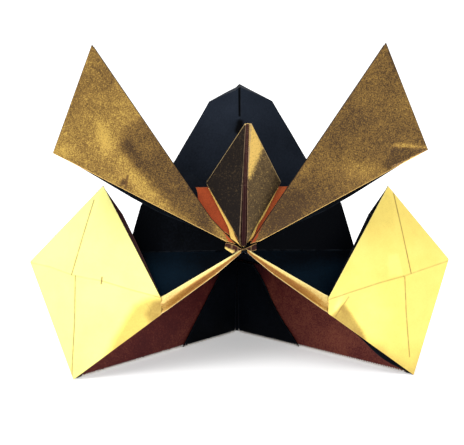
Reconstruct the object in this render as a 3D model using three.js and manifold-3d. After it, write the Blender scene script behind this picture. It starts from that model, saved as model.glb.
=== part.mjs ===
// A kabuto, the samurai's helmet, folded from one sheet of foil paper: gold on one side, black on the other.
// Millimetres, +Z up, the face looks along -Y. The origin is under the middle of the helmet, on the floor.
import * as THREE from 'three';
import { mergeVertices } from 'three/addons/utils/BufferGeometryUtils.js';
import Module from 'manifold-3d';

const wasm = await Module();
wasm.setup();

// Paper
const FLAP_WALL = 0.6; // a flap's layer of folded paper
const BODY_WALL = 0.8; // the crown, brow and neck guard, which have more layers
const LAYER_GAP = 0.3; // air between two layers that lie on each other
const RIM_TRIM = 0.1; // cut off the neck guard's folded lower edge, so that it stands flat
const FOOT_CLEARANCE = 0.3; // the wings' lowest corners stop this far above the rim

// Knot, where every flap meets
const KNOT_HEIGHT = 52.6;
const KNOT_RADIUS = 2.2; // the flaps start this far from the middle of the knot
const KNOT_PLEAT_HEIGHT = 4.4;
const KNOT_PLEAT_HALF_WIDTH = 6.4;
const KNOT_PLEAT_DEPTH = 0.9;

// Crown, brow and neck guard
const BODY_HALF_SPAN = 66.6; // between the front feet, at the floor
const BODY_DEPTH = 61.5; // front feet to the rear fold of the neck guard
const BROW_HEIGHT = 51.0; // beak of the brow, under the knot
const TEMPLE_HEIGHT = 45.4; // where the brow's crease meets the side fold
const TEMPLE_HALF_WIDTH = 45.4;
const TEMPLE_BACK = 20.0; // behind the beak of the brow
const CROWN_HEIGHT = 111.0;
const CROWN_TOP_BACK = 23.0; // front end of the top fold, behind the beak of the brow
const CROWN_TOP_LENGTH = 7.0;
const CROWN_SLIT_WIDTH = 0.5;
const CROWN_SLIT_LENGTH = 11.5; // open seam, down from the top of the crown

// Inside of the neck guard
const INNER_FLAP_FOOT = 25.0; // half the flap's width at the floor
const INNER_FLAP_HEAD = 9.5; // half the flap's width at its upper edge
const INNER_FLAP_HEIGHT = 31.0;
const FACING_HEIGHT = 31.5;
const FACING_EDGE_MARGIN = 1.4; // from the side fold

// Horns
const HORN_TIP_OUT = 55.7;
const HORN_TIP_HEIGHT = 131.8;
const HORN_TIP_BACK = 4.0; // behind the knot's front
const HORN_TIP_WIDTH = 1.4; // the blunt end of the tip
const HORN_CORNER_OUT = 71.5;
const HORN_CORNER_HEIGHT = 91.2;
const HORN_CORNER_FORWARD = 2.0; // in front of the knot's front
const HORN_ROOT_OUT = 2.8; // upper corner of the horn's root, beside the middle of the knot
const HORN_ROOT_RISE = 1.8;
const HORN_ROOT_WIDTH = 3.8; // from the root's upper corner to its lower one
const HORN_WAIST = 0.9; // how far the upper edge is drawn in above the root
const HORN_WAIST_ALONG = 0.86; // share of the way from the tip to the root
const HORN_BACK_SHOW = 2.2; // how far the black back layer shows under the lower edge

// Crest
const CREST_TOP_HEIGHT = 100.0;
const CREST_TOP_BACK = 8.0;
const CREST_TOP_LEAN = 1.6; // the slot's top leans this far to the right
const CREST_HALF_WIDTH = 14.6;
const CREST_CORNER_HEIGHT = 76.5;
const CREST_KEEL = 5.0; // the outer corners lie this far behind the middle
const CREST_SLOT_WIDTH = 2.8;
const CREST_SLOT_DEPTH = 1.2;
const BACKING_HALF_WIDTH = 17.9;
const BACKING_TOP_HEIGHT = 74.6;
const BACKING_TOP_BACK = 10.2;
const HEM_WIDTH = 2.4; // the bright hem beside the crest, at its foot

// Brim strips, from the knot to the wings
const STRIP_WIDTH = 5.3; // at the wing
const STRIP_SAG = 1.7; // how far the lower lip hangs below the fold line from the knot to the wing's foot
const STRIP_PLEAT_DEPTH = 2.0;

// Wings, the turned-back ends of the neck guard
const WING_FOOT_OUT = 66.8;
const WING_HEEL_OUT = 32.4; // where the brim strip meets the wing
const WING_TOP_OUT = 56.4;
const WING_TOP_HEIGHT = 71.6;
const WING_TOP_BACK = 24.0;
const WING_TIP_OUT = 83.0;
const WING_TIP_HEIGHT = 42.5;
const WING_TIP_BACK = 19.0;
const WING_CREASE_OUT = 64.8; // where the wing's creases cross
const WING_CREASE_HEIGHT = 39.4;
const WING_CREASE_BACK = 8.5;
const WING_BACK_SHOW = 1.6; // how far the black back layer shows along the inner edge

// The two sides were folded by hand, so each has its own drift, as shares of the size that the column names.
const SIDES = [
  { name: 'left', sign: -1, hornTipOut: 0.032, hornCornerOut: 0.019, hornRootOut: 0.2, hornWaist: 1.2,
    wingTopOut: -0.033, wingTopHeight: 0.008, wingTipOut: 0.007, wingTipHeight: 0.009, creaseOut: 0.028,
    creaseHeight: 0.027, heelOut: -0.003 },
  { name: 'right', sign: 1, hornTipOut: -0.032, hornCornerOut: -0.019, hornRootOut: -0.2, hornWaist: -1.2,
    wingTopOut: 0.033, wingTopHeight: -0.008, wingTipOut: -0.007, wingTipHeight: -0.009, creaseOut: -0.028,
    creaseHeight: -0.027, heelOut: 0.015 },
];

// Rings of the crown between the temples and the top. up: share of the rise from the temple to the crown's top.
// half: share of TEMPLE_HALF_WIDTH. front, side, back: depths as shares of the reach from the beak to the rear fold.
const CROWN_RINGS = [
  { up: 0.287, half: 0.877, front: 0.075, side: 0.355, back: 0.975 },
  { up: 0.549, half: 0.575, front: 0.19, side: 0.425, back: 0.86 },
  { up: 0.902, half: 0.275, front: 0.345, side: 0.455, back: 0.62 },
];

// Sections of the crest from its foot to its top. rise: share of the crest's height above the knot, or the corners'.
// half, slot and keel: shares of CREST_HALF_WIDTH, CREST_SLOT_WIDTH and CREST_KEEL. slotLean and rimLean: how far the
// slot and the outer edges have moved sideways, as shares of CREST_TOP_LEAN.
const CREST_CORNER_RISE = (CREST_CORNER_HEIGHT - KNOT_HEIGHT) / (CREST_TOP_HEIGHT - KNOT_HEIGHT);
const CREST_SECTIONS = [
  { rise: 0.06, half: 0.115, slot: 1.0, keel: 0.08, slotLean: -0.15, rimLean: -0.15 },
  { rise: CREST_CORNER_RISE, half: 1.0, slot: 0.68, keel: 1.0, slotLean: 0.2, rimLean: 0.05 },
  { rise: 1.0, half: 0.085, slot: 0.5, keel: 0.04, slotLean: 1.0, rimLean: 1.12 },
];

// Folds across a brim strip, from its upper edge to its lower lip. height: share of the strip's width above the lip.
// depth: share of STRIP_PLEAT_DEPTH behind the lip.
const STRIP_FOLDS = [
  { height: 1.0, depth: 0.9 },
  { height: 0.62, depth: 0.0 },
  { height: 0.22, depth: 0.8 },
  { height: 0.0, depth: 0.15 },
];

// Stations along a brim strip. along: share of the way from the knot end to the wing end. sag: share of STRIP_SAG.
const STRIP_STATIONS = [
  { along: 0.0, sag: 0.5 },
  { along: 0.3, sag: 1.0 },
  { along: 1.0, sag: 0.6 },
];
const HEEL_SAG = STRIP_SAG * STRIP_STATIONS.at(-1).sag;

// Lower edge of a horn's back layer. along: share of the way from the outer corner to the root.
// drop: share of HORN_BACK_SHOW below the horn's own edge.
const HORN_BACK_EDGE = [
  { along: 0.02, drop: -0.3 },
  { along: 0.17, drop: 0.15 },
  { along: 0.45, drop: 0.85 },
  { along: 0.62, drop: 1.0 },
  { along: 0.85, drop: 0.2 },
];

// Inner edge of a wing's back layer. along: share of the way from the wing's top to its heel.
// show: share of WING_BACK_SHOW beyond the wing's own edge.
const WING_BACK_EDGE = [
  { along: 0.04, show: 0.0 },
  { along: 0.26, show: 1.0 },
  { along: 0.6, show: 0.45 },
  { along: 0.92, show: 0.1 },
];

// Pleats of the knot, from left to right. across: share of KNOT_PLEAT_HALF_WIDTH. depth: share of KNOT_PLEAT_DEPTH.
// low and high: shares of KNOT_PLEAT_HEIGHT below and above the middle of the knot, which is pinched narrow.
const KNOT_PLEATS = [
  { across: -1.0, depth: 0.6, low: 0.0, high: 0.55 },
  { across: -0.72, depth: 0.0, low: 0.36, high: 0.5 },
  { across: -0.4, depth: 0.9, low: 0.24, high: 0.36 },
  { across: -0.12, depth: 0.1, low: 0.16, high: 0.22 },
  { across: 0.12, depth: 0.9, low: 0.16, high: 0.22 },
  { across: 0.4, depth: 0.1, low: 0.22, high: 0.36 },
  { across: 0.72, depth: 0.8, low: 0.1, high: 0.5 },
];

const FINISHES = {
  blackPaper: { color: 0x0b121c, roughness: 0.6, metalness: 0.0 },
  brightGold: { color: 0xf2dc82, roughness: 0.34, metalness: 0.9 },
  darkGold: { color: 0x9a7430, roughness: 0.42, metalness: 0.9 },
  redGold: { color: 0xb4502a, roughness: 0.4, metalness: 0.85 },
  shadedGold: { color: 0x5a2c20, roughness: 0.5, metalness: 0.7 },
};

const UP = new THREE.Vector3(0, 0, 1);
const BACKWARD = new THREE.Vector3(0, 1, 0);
const FAR = 1000; // larger than the helmet, for cutting blocks

const at = (x, y, z) => new THREE.Vector3(x, y, z);
const between = (a, b, share) => a.clone().lerp(b, share);

// Depths at the knot: horn, its back layer and the crest's backing lie in front of the brow's beak.
const BACK_LAYER_OFFSET = FLAP_WALL + LAYER_GAP;
const BODY_FRONT = 3 * (FLAP_WALL + LAYER_GAP);
const REAR_FOLD = BODY_FRONT + BODY_DEPTH;
const KNOT = at(0, 0, KNOT_HEIGHT);

// Closed geometry from corners and faces that point outwards
function closedGeometry(points, triangles) {
  const geometry = new THREE.BufferGeometry();
  geometry.setAttribute('position', new THREE.Float32BufferAttribute(points.flatMap((p) => [p.x, p.y, p.z]), 3));
  geometry.setIndex(triangles.flat());
  geometry.computeVertexNormals();
  return geometry;
}

// Edges that only one facet uses, in the direction that the facet runs
function rimEdges(facets) {
  const used = new Set(facets.flatMap((f) => f.map((name, i) => `${name}>${f[(i + 1) % f.length]}`)));
  return [...used].map((edge) => edge.split('>')).filter(([a, b]) => !used.has(`${b}>${a}`));
}

// The two skins of a sheet and the wall round its rim. front and back: corner name to point.
function sheetBetween(front, back, facets) {
  const names = Object.keys(front);
  const number = Object.fromEntries(names.map((name, i) => [name, i]));
  const behind = (name) => number[name] + names.length;
  const triangles = [];
  for (const facet of facets) {
    for (let i = 1; i < facet.length - 1; i++) {
      const [a, b, c] = [facet[0], facet[i], facet[i + 1]];
      triangles.push([number[a], number[b], number[c]], [behind(a), behind(c), behind(b)]);
    }
  }
  for (const [a, b] of rimEdges(facets)) {
    triangles.push([number[a], behind(a), behind(b)], [number[a], behind(b), number[b]]);
  }
  return closedGeometry([...names.map((n) => front[n]), ...names.map((n) => back[n])], triangles);
}

function facetNormal(corners, facet) {
  const normal = at(0, 0, 0);
  for (let i = 1; i < facet.length - 1; i++) {
    const u = corners[facet[i]].clone().sub(corners[facet[0]]);
    const v = corners[facet[i + 1]].clone().sub(corners[facet[0]]);
    normal.add(u.cross(v));
  }
  return normal.normalize();
}

// A flap: facets pushed along one direction, from its show side to its back
function flap(corners, facets, direction, setBack = 0, wall = FLAP_WALL) {
  const moved = (distance) => Object.fromEntries(
    Object.entries(corners).map(([name, p]) => [name, p.clone().addScaledVector(direction, distance)]));
  return sheetBetween(moved(setBack), moved(setBack + wall), facets);
}

// A shell: each corner's inner point lies one wall inside all the facets that meet there
function shell(corners, facets, wall) {
  const normals = facets.map((facet) => facetNormal(corners, facet));
  const inner = {};
  for (const [name, p] of Object.entries(corners)) {
    const around = normals.filter((_, i) => facets[i].includes(name));
    const mean = around.reduce((sum, n) => sum.add(n), at(0, 0, 0)).normalize();
    const lean = around.reduce((sum, n) => sum + n.dot(mean), 0) / around.length;
    inner[name] = p.clone().addScaledVector(mean, -wall / lean);
  }
  return sheetBetween(corners, inner, facets);
}

// Facets between neighbouring rows of corner names, for a sheet that is wound row by row
function stripFacets(rows) {
  const facets = [];
  for (let r = 0; r < rows.length - 1; r++) {
    for (let c = 0; c < rows[r].length - 1; c++) {
      facets.push([rows[r][c], rows[r][c + 1], rows[r + 1][c + 1], rows[r + 1][c]]);
    }
  }
  return facets;
}

// A mirrored side keeps its faces outward when each facet is run the other way
const turned = ([first, ...others]) => [first, ...others.reverse()];
const facing = (facets, sign) => (sign > 0 ? facets : facets.map(turned));

function toSolid(geometry) {
  const bare = geometry.clone();
  bare.deleteAttribute('normal');
  bare.deleteAttribute('uv');
  const merged = mergeVertices(bare);
  return new wasm.Manifold(new wasm.Mesh({
    numProp: 3,
    vertProperties: new Float32Array(merged.attributes.position.array),
    triVerts: new Uint32Array(merged.index.array),
  }));
}

function toGeometry(solid) {
  const { vertProperties, triVerts, numProp } = solid.getMesh();
  const points = [];
  for (let i = 0; i < vertProperties.length; i += numProp) {
    points.push(at(vertProperties[i], vertProperties[i + 1], vertProperties[i + 2]));
  }
  const triangles = [];
  for (let i = 0; i < triVerts.length; i += 3) {
    triangles.push([triVerts[i], triVerts[i + 1], triVerts[i + 2]]);
  }
  return closedGeometry(points, triangles);
}

// Keeps what lies on the side that the normal points to, at least a clearance away from the plane
function keepSide(solid, point, normal, clearance = 0) {
  const toward = normal.clone().normalize();
  const block = new THREE.BoxGeometry(FAR, FAR, FAR);
  block.applyQuaternion(new THREE.Quaternion().setFromUnitVectors(UP, toward));
  const middle = point.clone().addScaledVector(toward, clearance + FAR / 2);
  block.translate(middle.x, middle.y, middle.z);
  return solid.intersect(toSolid(block));
}

const helmet = new THREE.Group();

function addPiece(name, geometry, finish) {
  const mesh = new THREE.Mesh(geometry, new THREE.MeshStandardMaterial(FINISHES[finish]));
  mesh.name = name;
  helmet.add(mesh);
}

// Body: crown, brow and neck guard are one folded shell, parted along its creases.
const temple = (sign) => at(sign * TEMPLE_HALF_WIDTH, BODY_FRONT + TEMPLE_BACK, TEMPLE_HEIGHT);
const beak = at(0, BODY_FRONT, BROW_HEIGHT);
const foot = (sign) => at(sign * BODY_HALF_SPAN, BODY_FRONT, 0);
const rearFoot = at(0, REAR_FOLD, 0);
const creaseNormal = at(0, BROW_HEIGHT - TEMPLE_HEIGHT, TEMPLE_BACK).normalize();

// The nape lies where the crease's plane meets both flat panels of the neck guard.
function napePoint() {
  const panel = foot(1).sub(rearFoot).cross(temple(1).sub(rearFoot));
  const fall = creaseNormal.y / creaseNormal.z;
  const back = (panel.y * REAR_FOLD - panel.z * (BROW_HEIGHT + fall * BODY_FRONT)) / (panel.y - panel.z * fall);
  return at(0, back, BROW_HEIGHT - fall * (back - BODY_FRONT));
}
const nape = napePoint();

function bodyShell() {
  const corners = { beak, nape, rearFoot };
  const facets = [];
  const rise = CROWN_HEIGHT - TEMPLE_HEIGHT;
  corners.topFront = at(0, BODY_FRONT + CROWN_TOP_BACK, CROWN_HEIGHT);
  corners.topBack = at(0, BODY_FRONT + CROWN_TOP_BACK + CROWN_TOP_LENGTH, CROWN_HEIGHT);
  CROWN_RINGS.forEach((ring, i) => {
    const height = TEMPLE_HEIGHT + ring.up * rise;
    corners[`front${i}`] = at(0, BODY_FRONT + ring.front * BODY_DEPTH, height);
    corners[`back${i}`] = at(0, BODY_FRONT + ring.back * BODY_DEPTH, height);
  });
  const last = CROWN_RINGS.length - 1;
  for (const { name, sign } of SIDES) {
    const side = (i) => `${name}${i}`;
    corners[side('Temple')] = temple(sign);
    corners[side('Foot')] = foot(sign);
    CROWN_RINGS.forEach((ring, i) => {
      const height = TEMPLE_HEIGHT + ring.up * rise;
      corners[side(i)] = at(sign * ring.half * TEMPLE_HALF_WIDTH, BODY_FRONT + ring.side * BODY_DEPTH, height);
    });
    const half = [
      ['beak', side('Foot'), side('Temple')],
      ['beak', side('Temple'), side(0), 'front0'],
      [side('Foot'), 'rearFoot', 'nape', side('Temple')],
      [side('Temple'), 'nape', 'back0', side(0)],
      [`front${last}`, side(last), 'topFront'],
      [side(last), 'topBack', 'topFront'],
      [side(last), `back${last}`, 'topBack'],
    ];
    for (let i = 0; i < last; i++) {
      half.push([`front${i}`, side(i), side(i + 1), `front${i + 1}`]);
      half.push([side(i), `back${i}`, `back${i + 1}`, side(i + 1)]);
    }
    facets.push(...facing(half, sign));
  }
  return keepSide(toSolid(shell(corners, facets, BODY_WALL)), at(0, 0, RIM_TRIM), UP);
}

// Open seam at the top of the crown's front
function slitTool() {
  const front = BODY_FRONT + CROWN_TOP_BACK;
  const slot = new THREE.BoxGeometry(CROWN_SLIT_WIDTH, front, 2 * CROWN_SLIT_LENGTH);
  slot.translate(0, front / 2, CROWN_HEIGHT);
  return toSolid(slot);
}

function addBody() {
  const body = bodyShell();
  const apart = LAYER_GAP / 2;
  const crown = keepSide(body, beak, creaseNormal, apart).subtract(slitTool());
  addPiece('crown', toGeometry(crown), 'blackPaper');
  const lower = keepSide(body, beak, creaseNormal.clone().negate(), apart);
  for (const { name, sign } of SIDES) {
    const outward = at(sign, 0, 0);
    const half = keepSide(lower, at(0, 0, 0), outward, apart);
    const browNormal = facetNormal({ a: beak, b: foot(sign), c: temple(sign) }, facing([['a', 'b', 'c']], sign)[0]);
    const neckNormal = facetNormal({ a: foot(sign), b: rearFoot, c: nape }, facing([['a', 'b', 'c']], sign)[0]);
    const parting = browNormal.clone().sub(neckNormal);
    const brow = keepSide(half, temple(sign), parting, apart);
    const neck = keepSide(half, temple(sign), parting.clone().negate(), apart);
    addPiece(`brow_${name}`, toGeometry(brow), 'blackPaper');
    addPiece(`neck_guard_${name}`, toGeometry(neck), 'blackPaper');
    addNeckInside(name, sign, neckNormal);
  }
}

// Inside the neck guard: the gold side of the sheet, and the black flap folded up over it at the rear
function addNeckInside(name, sign, neckNormal) {
  const inward = neckNormal.clone().negate();
  const along = (share, height) => {
    const low = between(rearFoot, foot(sign), share);
    const high = between(nape, temple(sign), share);
    return between(low, high, (height - low.z) / (high.z - low.z));
  };
  const shareAt = (halfWidth) => halfWidth / BODY_HALF_SPAN;
  const spread = (layers) => (BODY_WALL + layers * (FLAP_WALL + LAYER_GAP) + LAYER_GAP) / BODY_HALF_SPAN;
  const facets = facing([['rearLow', 'rearHigh', 'frontHigh', 'frontLow']], sign);
  const facingCorners = {
    rearLow: along(spread(1), LAYER_GAP + RIM_TRIM),
    rearHigh: along(spread(1), FACING_HEIGHT),
    frontHigh: along(1 - 2 * shareAt(FACING_EDGE_MARGIN), FACING_HEIGHT),
    frontLow: along(1 - shareAt(FACING_EDGE_MARGIN), LAYER_GAP + RIM_TRIM),
  };
  const facingStart = BODY_WALL + LAYER_GAP;
  addPiece(`neck_facing_${name}`, flap(facingCorners, facets, inward, facingStart), 'shadedGold');
  const flapCorners = {
    rearLow: along(spread(2), LAYER_GAP + RIM_TRIM),
    rearHigh: along(spread(2), INNER_FLAP_HEIGHT),
    frontHigh: along(shareAt(INNER_FLAP_HEAD), INNER_FLAP_HEIGHT),
    frontLow: along(shareAt(INNER_FLAP_FOOT), LAYER_GAP + RIM_TRIM),
  };
  const flapStart = facingStart + FLAP_WALL + LAYER_GAP;
  addPiece(`inner_flap_${name}`, flap(flapCorners, facets, inward, flapStart), 'blackPaper');
}

// Horns: a gold flap on a black back layer, from the knot to a blunt tip
function addHorn(side) {
  const { name, sign } = side;
  const tip = at(sign * HORN_TIP_OUT * (1 + side.hornTipOut), HORN_TIP_BACK, HORN_TIP_HEIGHT);
  const corner = at(sign * HORN_CORNER_OUT * (1 + side.hornCornerOut), -HORN_CORNER_FORWARD, HORN_CORNER_HEIGHT);
  const rootOut = HORN_ROOT_OUT * (1 + side.hornRootOut);
  const rootHigh = at(sign * rootOut, 0, KNOT_HEIGHT + HORN_ROOT_RISE);
  const rootLow = rootHigh.clone().add(at(sign * HORN_ROOT_WIDTH, 0, HORN_ROOT_WIDTH / 4));
  const tipEdge = tip.distanceTo(corner);
  const upperEdge = rootHigh.clone().sub(tip).normalize();
  const outward = at(sign * upperEdge.z, 0, -sign * upperEdge.x);
  const corners = {
    waist: between(tip, rootHigh, HORN_WAIST_ALONG).addScaledVector(outward, -HORN_WAIST * (1 + side.hornWaist)),
    rootHigh,
    rootLow,
    corner,
    tipOuter: between(tip, corner, HORN_TIP_WIDTH / tipEdge),
    tip,
  };
  const order = ['waist', 'rootHigh', 'rootLow', 'corner', 'tipOuter', 'tip'];
  addPiece(`horn_${name}`, flap(corners, facing([order], sign), BACKWARD), 'darkGold');

  const backCorners = {
    waist: corners.waist,
    rootHigh,
    rootLow,
    tip: between(tip, rootHigh, HORN_TIP_WIDTH / rootHigh.distanceTo(tip)),
  };
  const lower = HORN_BACK_EDGE.map(({ along, drop }, i) => {
    backCorners[`edge${i}`] = between(corner, corners.rootLow, along).addScaledVector(UP, -drop * HORN_BACK_SHOW);
    return `edge${i}`;
  });
  const backOrder = ['waist', 'rootHigh', 'rootLow', ...lower.reverse(), 'tip'];
  const backGeometry = flap(backCorners, facing([backOrder], sign), BACKWARD, BACK_LAYER_OFFSET);
  addPiece(`horn_back_${name}`, backGeometry, 'blackPaper');
}

// Middle of the crest at one height, moved sideways by a lean
const crestMiddle = (rise, lean) => at(
  CREST_TOP_LEAN * lean, CREST_TOP_BACK * rise, KNOT_HEIGHT + rise * (CREST_TOP_HEIGHT - KNOT_HEIGHT));

// Crest: two faces that slope back from a dark slot between their folded edges
function addCrest() {
  const corners = {};
  const rows = CREST_SECTIONS.map(({ rise, half, slot, keel, slotLean, rimLean }, r) => {
    const rim = crestMiddle(rise, rimLean);
    const groove = crestMiddle(rise, slotLean);
    const slotHalf = (slot * CREST_SLOT_WIDTH) / 2;
    const rimHalf = half * CREST_HALF_WIDTH;
    const profile = [
      { from: rim, out: -rimHalf, back: keel * CREST_KEEL },
      { from: groove, out: -slotHalf, back: 0 },
      { from: groove, out: -slotHalf / 2, back: slot * CREST_SLOT_DEPTH },
      { from: groove, out: slotHalf / 2, back: slot * CREST_SLOT_DEPTH },
      { from: groove, out: slotHalf, back: 0 },
      { from: rim, out: rimHalf, back: keel * CREST_KEEL },
    ];
    return profile.map(({ from, out, back }, c) => {
      const name = `r${r}c${c}`;
      corners[name] = from.clone().add(at(out, back, 0));
      return name;
    });
  });
  addPiece('crest', flap(corners, stripFacets(rows), BACKWARD), 'darkGold');
}

// Backing: the panel behind the crest, with a level top edge, seen as a red strip on each side
const backingBack = (height) => {
  const share = (height - KNOT_HEIGHT) / (BACKING_TOP_HEIGHT - KNOT_HEIGHT);
  return 2 * BACK_LAYER_OFFSET + share * (BACKING_TOP_BACK - 2 * BACK_LAYER_OFFSET);
};

function addBacking() {
  const rootHeight = KNOT_HEIGHT + KNOT_RADIUS;
  const rootHalf = BACKING_HALF_WIDTH * (KNOT_RADIUS / (BACKING_TOP_HEIGHT - KNOT_HEIGHT));
  const corners = {
    rootLeft: at(-rootHalf, backingBack(rootHeight), rootHeight),
    rootRight: at(rootHalf, backingBack(rootHeight), rootHeight),
    topRight: at(BACKING_HALF_WIDTH, BACKING_TOP_BACK, BACKING_TOP_HEIGHT),
    topLeft: at(-BACKING_HALF_WIDTH, BACKING_TOP_BACK, BACKING_TOP_HEIGHT),
  };
  addPiece('crest_backing', flap(corners, [['rootLeft', 'rootRight', 'topRight', 'topLeft']], BACKWARD), 'redGold');
}

// Hems: narrow bright folds along the crest's lower edges, widest at the knot
function addHem({ name, sign }) {
  const [root, widest] = CREST_SECTIONS;
  const low = crestMiddle(root.rise, root.rimLean);
  const high = crestMiddle(widest.rise, widest.rimLean);
  const onBacking = (x, z) => at(x, backingBack(z) - BACK_LAYER_OFFSET, z);
  const inner = low.x + sign * (root.half * CREST_HALF_WIDTH);
  const topShare = 0.9; // the hem runs out just below the crest's corner
  const top = between(low, high, topShare);
  const topOut = top.x + sign * CREST_HALF_WIDTH * (root.half + topShare * (widest.half - root.half));
  const corners = {
    rootIn: onBacking(inner, low.z),
    rootOut: onBacking(inner + sign * HEM_WIDTH, low.z + HEM_WIDTH / 2),
    topOut: onBacking(topOut + sign * LAYER_GAP, top.z),
    topIn: onBacking(topOut - sign * HEM_WIDTH, top.z),
  };
  const order = ['rootIn', 'rootOut', 'topOut', 'topIn'];
  addPiece(`crest_hem_${name}`, flap(corners, facing([order], sign), BACKWARD), 'brightGold');
}

// The fold line that carries a brim strip and a wing, from the knot to the wing's foot
const wingFoot = (sign) => at(sign * WING_FOOT_OUT, 0, RIM_TRIM + FOOT_CLEARANCE);
const heelShare = (side) => (WING_HEEL_OUT * (1 + side.heelOut)) / WING_FOOT_OUT;

// Brim strip: a pleated band that widens from the knot to the wing
function addBrimStrip(side) {
  const { name, sign } = side;
  const end = heelShare(side);
  const first = KNOT_RADIUS / KNOT.distanceTo(wingFoot(sign));
  const last = end - LAYER_GAP / WING_FOOT_OUT;
  const corners = {};
  const rows = STRIP_FOLDS.map(({ height, depth }, r) => STRIP_STATIONS.map(({ along, sag }, c) => {
    const share = first + along * (last - first);
    const grown = share / end;
    const rise = height * STRIP_WIDTH * grown - (1 - height) * sag * STRIP_SAG;
    const onFold = between(KNOT, wingFoot(sign), share);
    corners[`r${r}c${c}`] = onFold.add(at(0, depth * STRIP_PLEAT_DEPTH * grown, rise));
    return `r${r}c${c}`;
  }));
  const facets = facing(stripFacets(rows).map((facet) => [...facet].reverse()), sign);
  addPiece(`brim_strip_${name}`, flap(corners, facets, BACKWARD), 'brightGold');
}

// Wing: four gold facets round the crossing of its creases, on a black back layer
function addWing(side) {
  const { name, sign } = side;
  const heel = between(KNOT, wingFoot(sign), heelShare(side));
  const corners = {
    heelLow: heel.clone().addScaledVector(UP, -HEEL_SAG),
    heelHigh: heel.clone().addScaledVector(UP, STRIP_WIDTH),
    top: at(sign * WING_TOP_OUT * (1 + side.wingTopOut), WING_TOP_BACK, WING_TOP_HEIGHT * (1 + side.wingTopHeight)),
    tip: at(sign * WING_TIP_OUT * (1 + side.wingTipOut), WING_TIP_BACK, WING_TIP_HEIGHT * (1 + side.wingTipHeight)),
    foot: wingFoot(sign),
    cross: at(sign * WING_CREASE_OUT * (1 + side.creaseOut), WING_CREASE_BACK,
      WING_CREASE_HEIGHT * (1 + side.creaseHeight)),
  };
  const rim = ['heelLow', 'foot', 'tip', 'top', 'heelHigh'];
  const fan = rim.map((corner, i) => ['cross', corner, rim[(i + 1) % rim.length]]);
  addPiece(`wing_${name}`, flap(corners, facing(fan, sign), BACKWARD), 'brightGold');

  const backRim = ['heelLow', 'foot', 'tip', 'top'];
  const backCorners = { ...corners };
  delete backCorners.heelHigh;
  for (const { along, show } of WING_BACK_EDGE) {
    const key = `edge${along}`;
    backCorners[key] = between(corners.top, corners.heelHigh, along).add(at(-sign * show * WING_BACK_SHOW, 0, 0));
    backRim.push(key);
  }
  const backFan = backRim.map((corner, i) => ['cross', corner, backRim[(i + 1) % backRim.length]]);
  const geometry = flap(backCorners, facing(backFan, sign), BACKWARD, BACK_LAYER_OFFSET);
  addPiece(`wing_back_${name}`, geometry, 'blackPaper');
}

// Knot: small pleats in front of the roots of the flaps
function addKnot() {
  const corners = {};
  const front = -(FLAP_WALL + LAYER_GAP + KNOT_PLEAT_DEPTH);
  const rows = ['low', 'high'].map((edge) => KNOT_PLEATS.map((pleat, i) => {
    const height = edge === 'low' ? -pleat.low : pleat.high;
    corners[edge + i] = at(
      pleat.across * KNOT_PLEAT_HALF_WIDTH, front + pleat.depth * KNOT_PLEAT_DEPTH,
      KNOT_HEIGHT + height * KNOT_PLEAT_HEIGHT);
    return edge + i;
  }));
  addPiece('knot', flap(corners, stripFacets(rows), BACKWARD), 'darkGold');
}

addBody();
addCrest();
addBacking();
addKnot();
for (const side of SIDES) {
  addHorn(side);
  addHem(side);
  addBrimStrip(side);
  addWing(side);
}

// The origin goes under the middle of the helmet's box.
const box = new THREE.Box3().setFromObject(helmet);
const middle = box.getCenter(at(0, 0, 0));
helmet.position.set(-middle.x, -middle.y, -box.min.z);

export default helmet;
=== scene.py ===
"""Dresses the kabuto folded from foil paper.

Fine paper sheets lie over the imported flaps, with their finishes, in a pale studio with a camera.
"""

import logging
import math
from dataclasses import dataclass
from enum import Enum
from typing import Any, Callable, Optional, Sequence, Union

import bmesh
import bpy
import numpy as np
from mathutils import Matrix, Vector, geometry, noise
from mathutils.bvhtree import BVHTree


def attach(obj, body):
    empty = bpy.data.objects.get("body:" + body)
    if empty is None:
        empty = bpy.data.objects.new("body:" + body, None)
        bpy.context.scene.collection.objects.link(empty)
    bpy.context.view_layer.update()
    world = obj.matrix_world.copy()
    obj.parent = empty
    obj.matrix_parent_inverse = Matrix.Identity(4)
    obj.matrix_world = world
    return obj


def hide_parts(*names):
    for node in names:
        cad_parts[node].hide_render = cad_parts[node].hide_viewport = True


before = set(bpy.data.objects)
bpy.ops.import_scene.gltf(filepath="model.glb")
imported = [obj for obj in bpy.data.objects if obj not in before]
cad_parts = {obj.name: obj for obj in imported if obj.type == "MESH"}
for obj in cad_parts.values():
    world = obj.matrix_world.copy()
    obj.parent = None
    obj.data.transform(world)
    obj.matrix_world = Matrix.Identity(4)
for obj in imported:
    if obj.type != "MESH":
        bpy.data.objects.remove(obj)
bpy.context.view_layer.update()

BODY = "root"
MM = 0.001

# Distance where there is no segment, in millimetres, and a floor for lengths that are divided by
FAR = 1000.0
TINY = 1e-12

Colour = tuple[float, float, float]
Point = tuple[float, float, float]

log = logging.getLogger("kabuto")


# Shader trees


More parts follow.
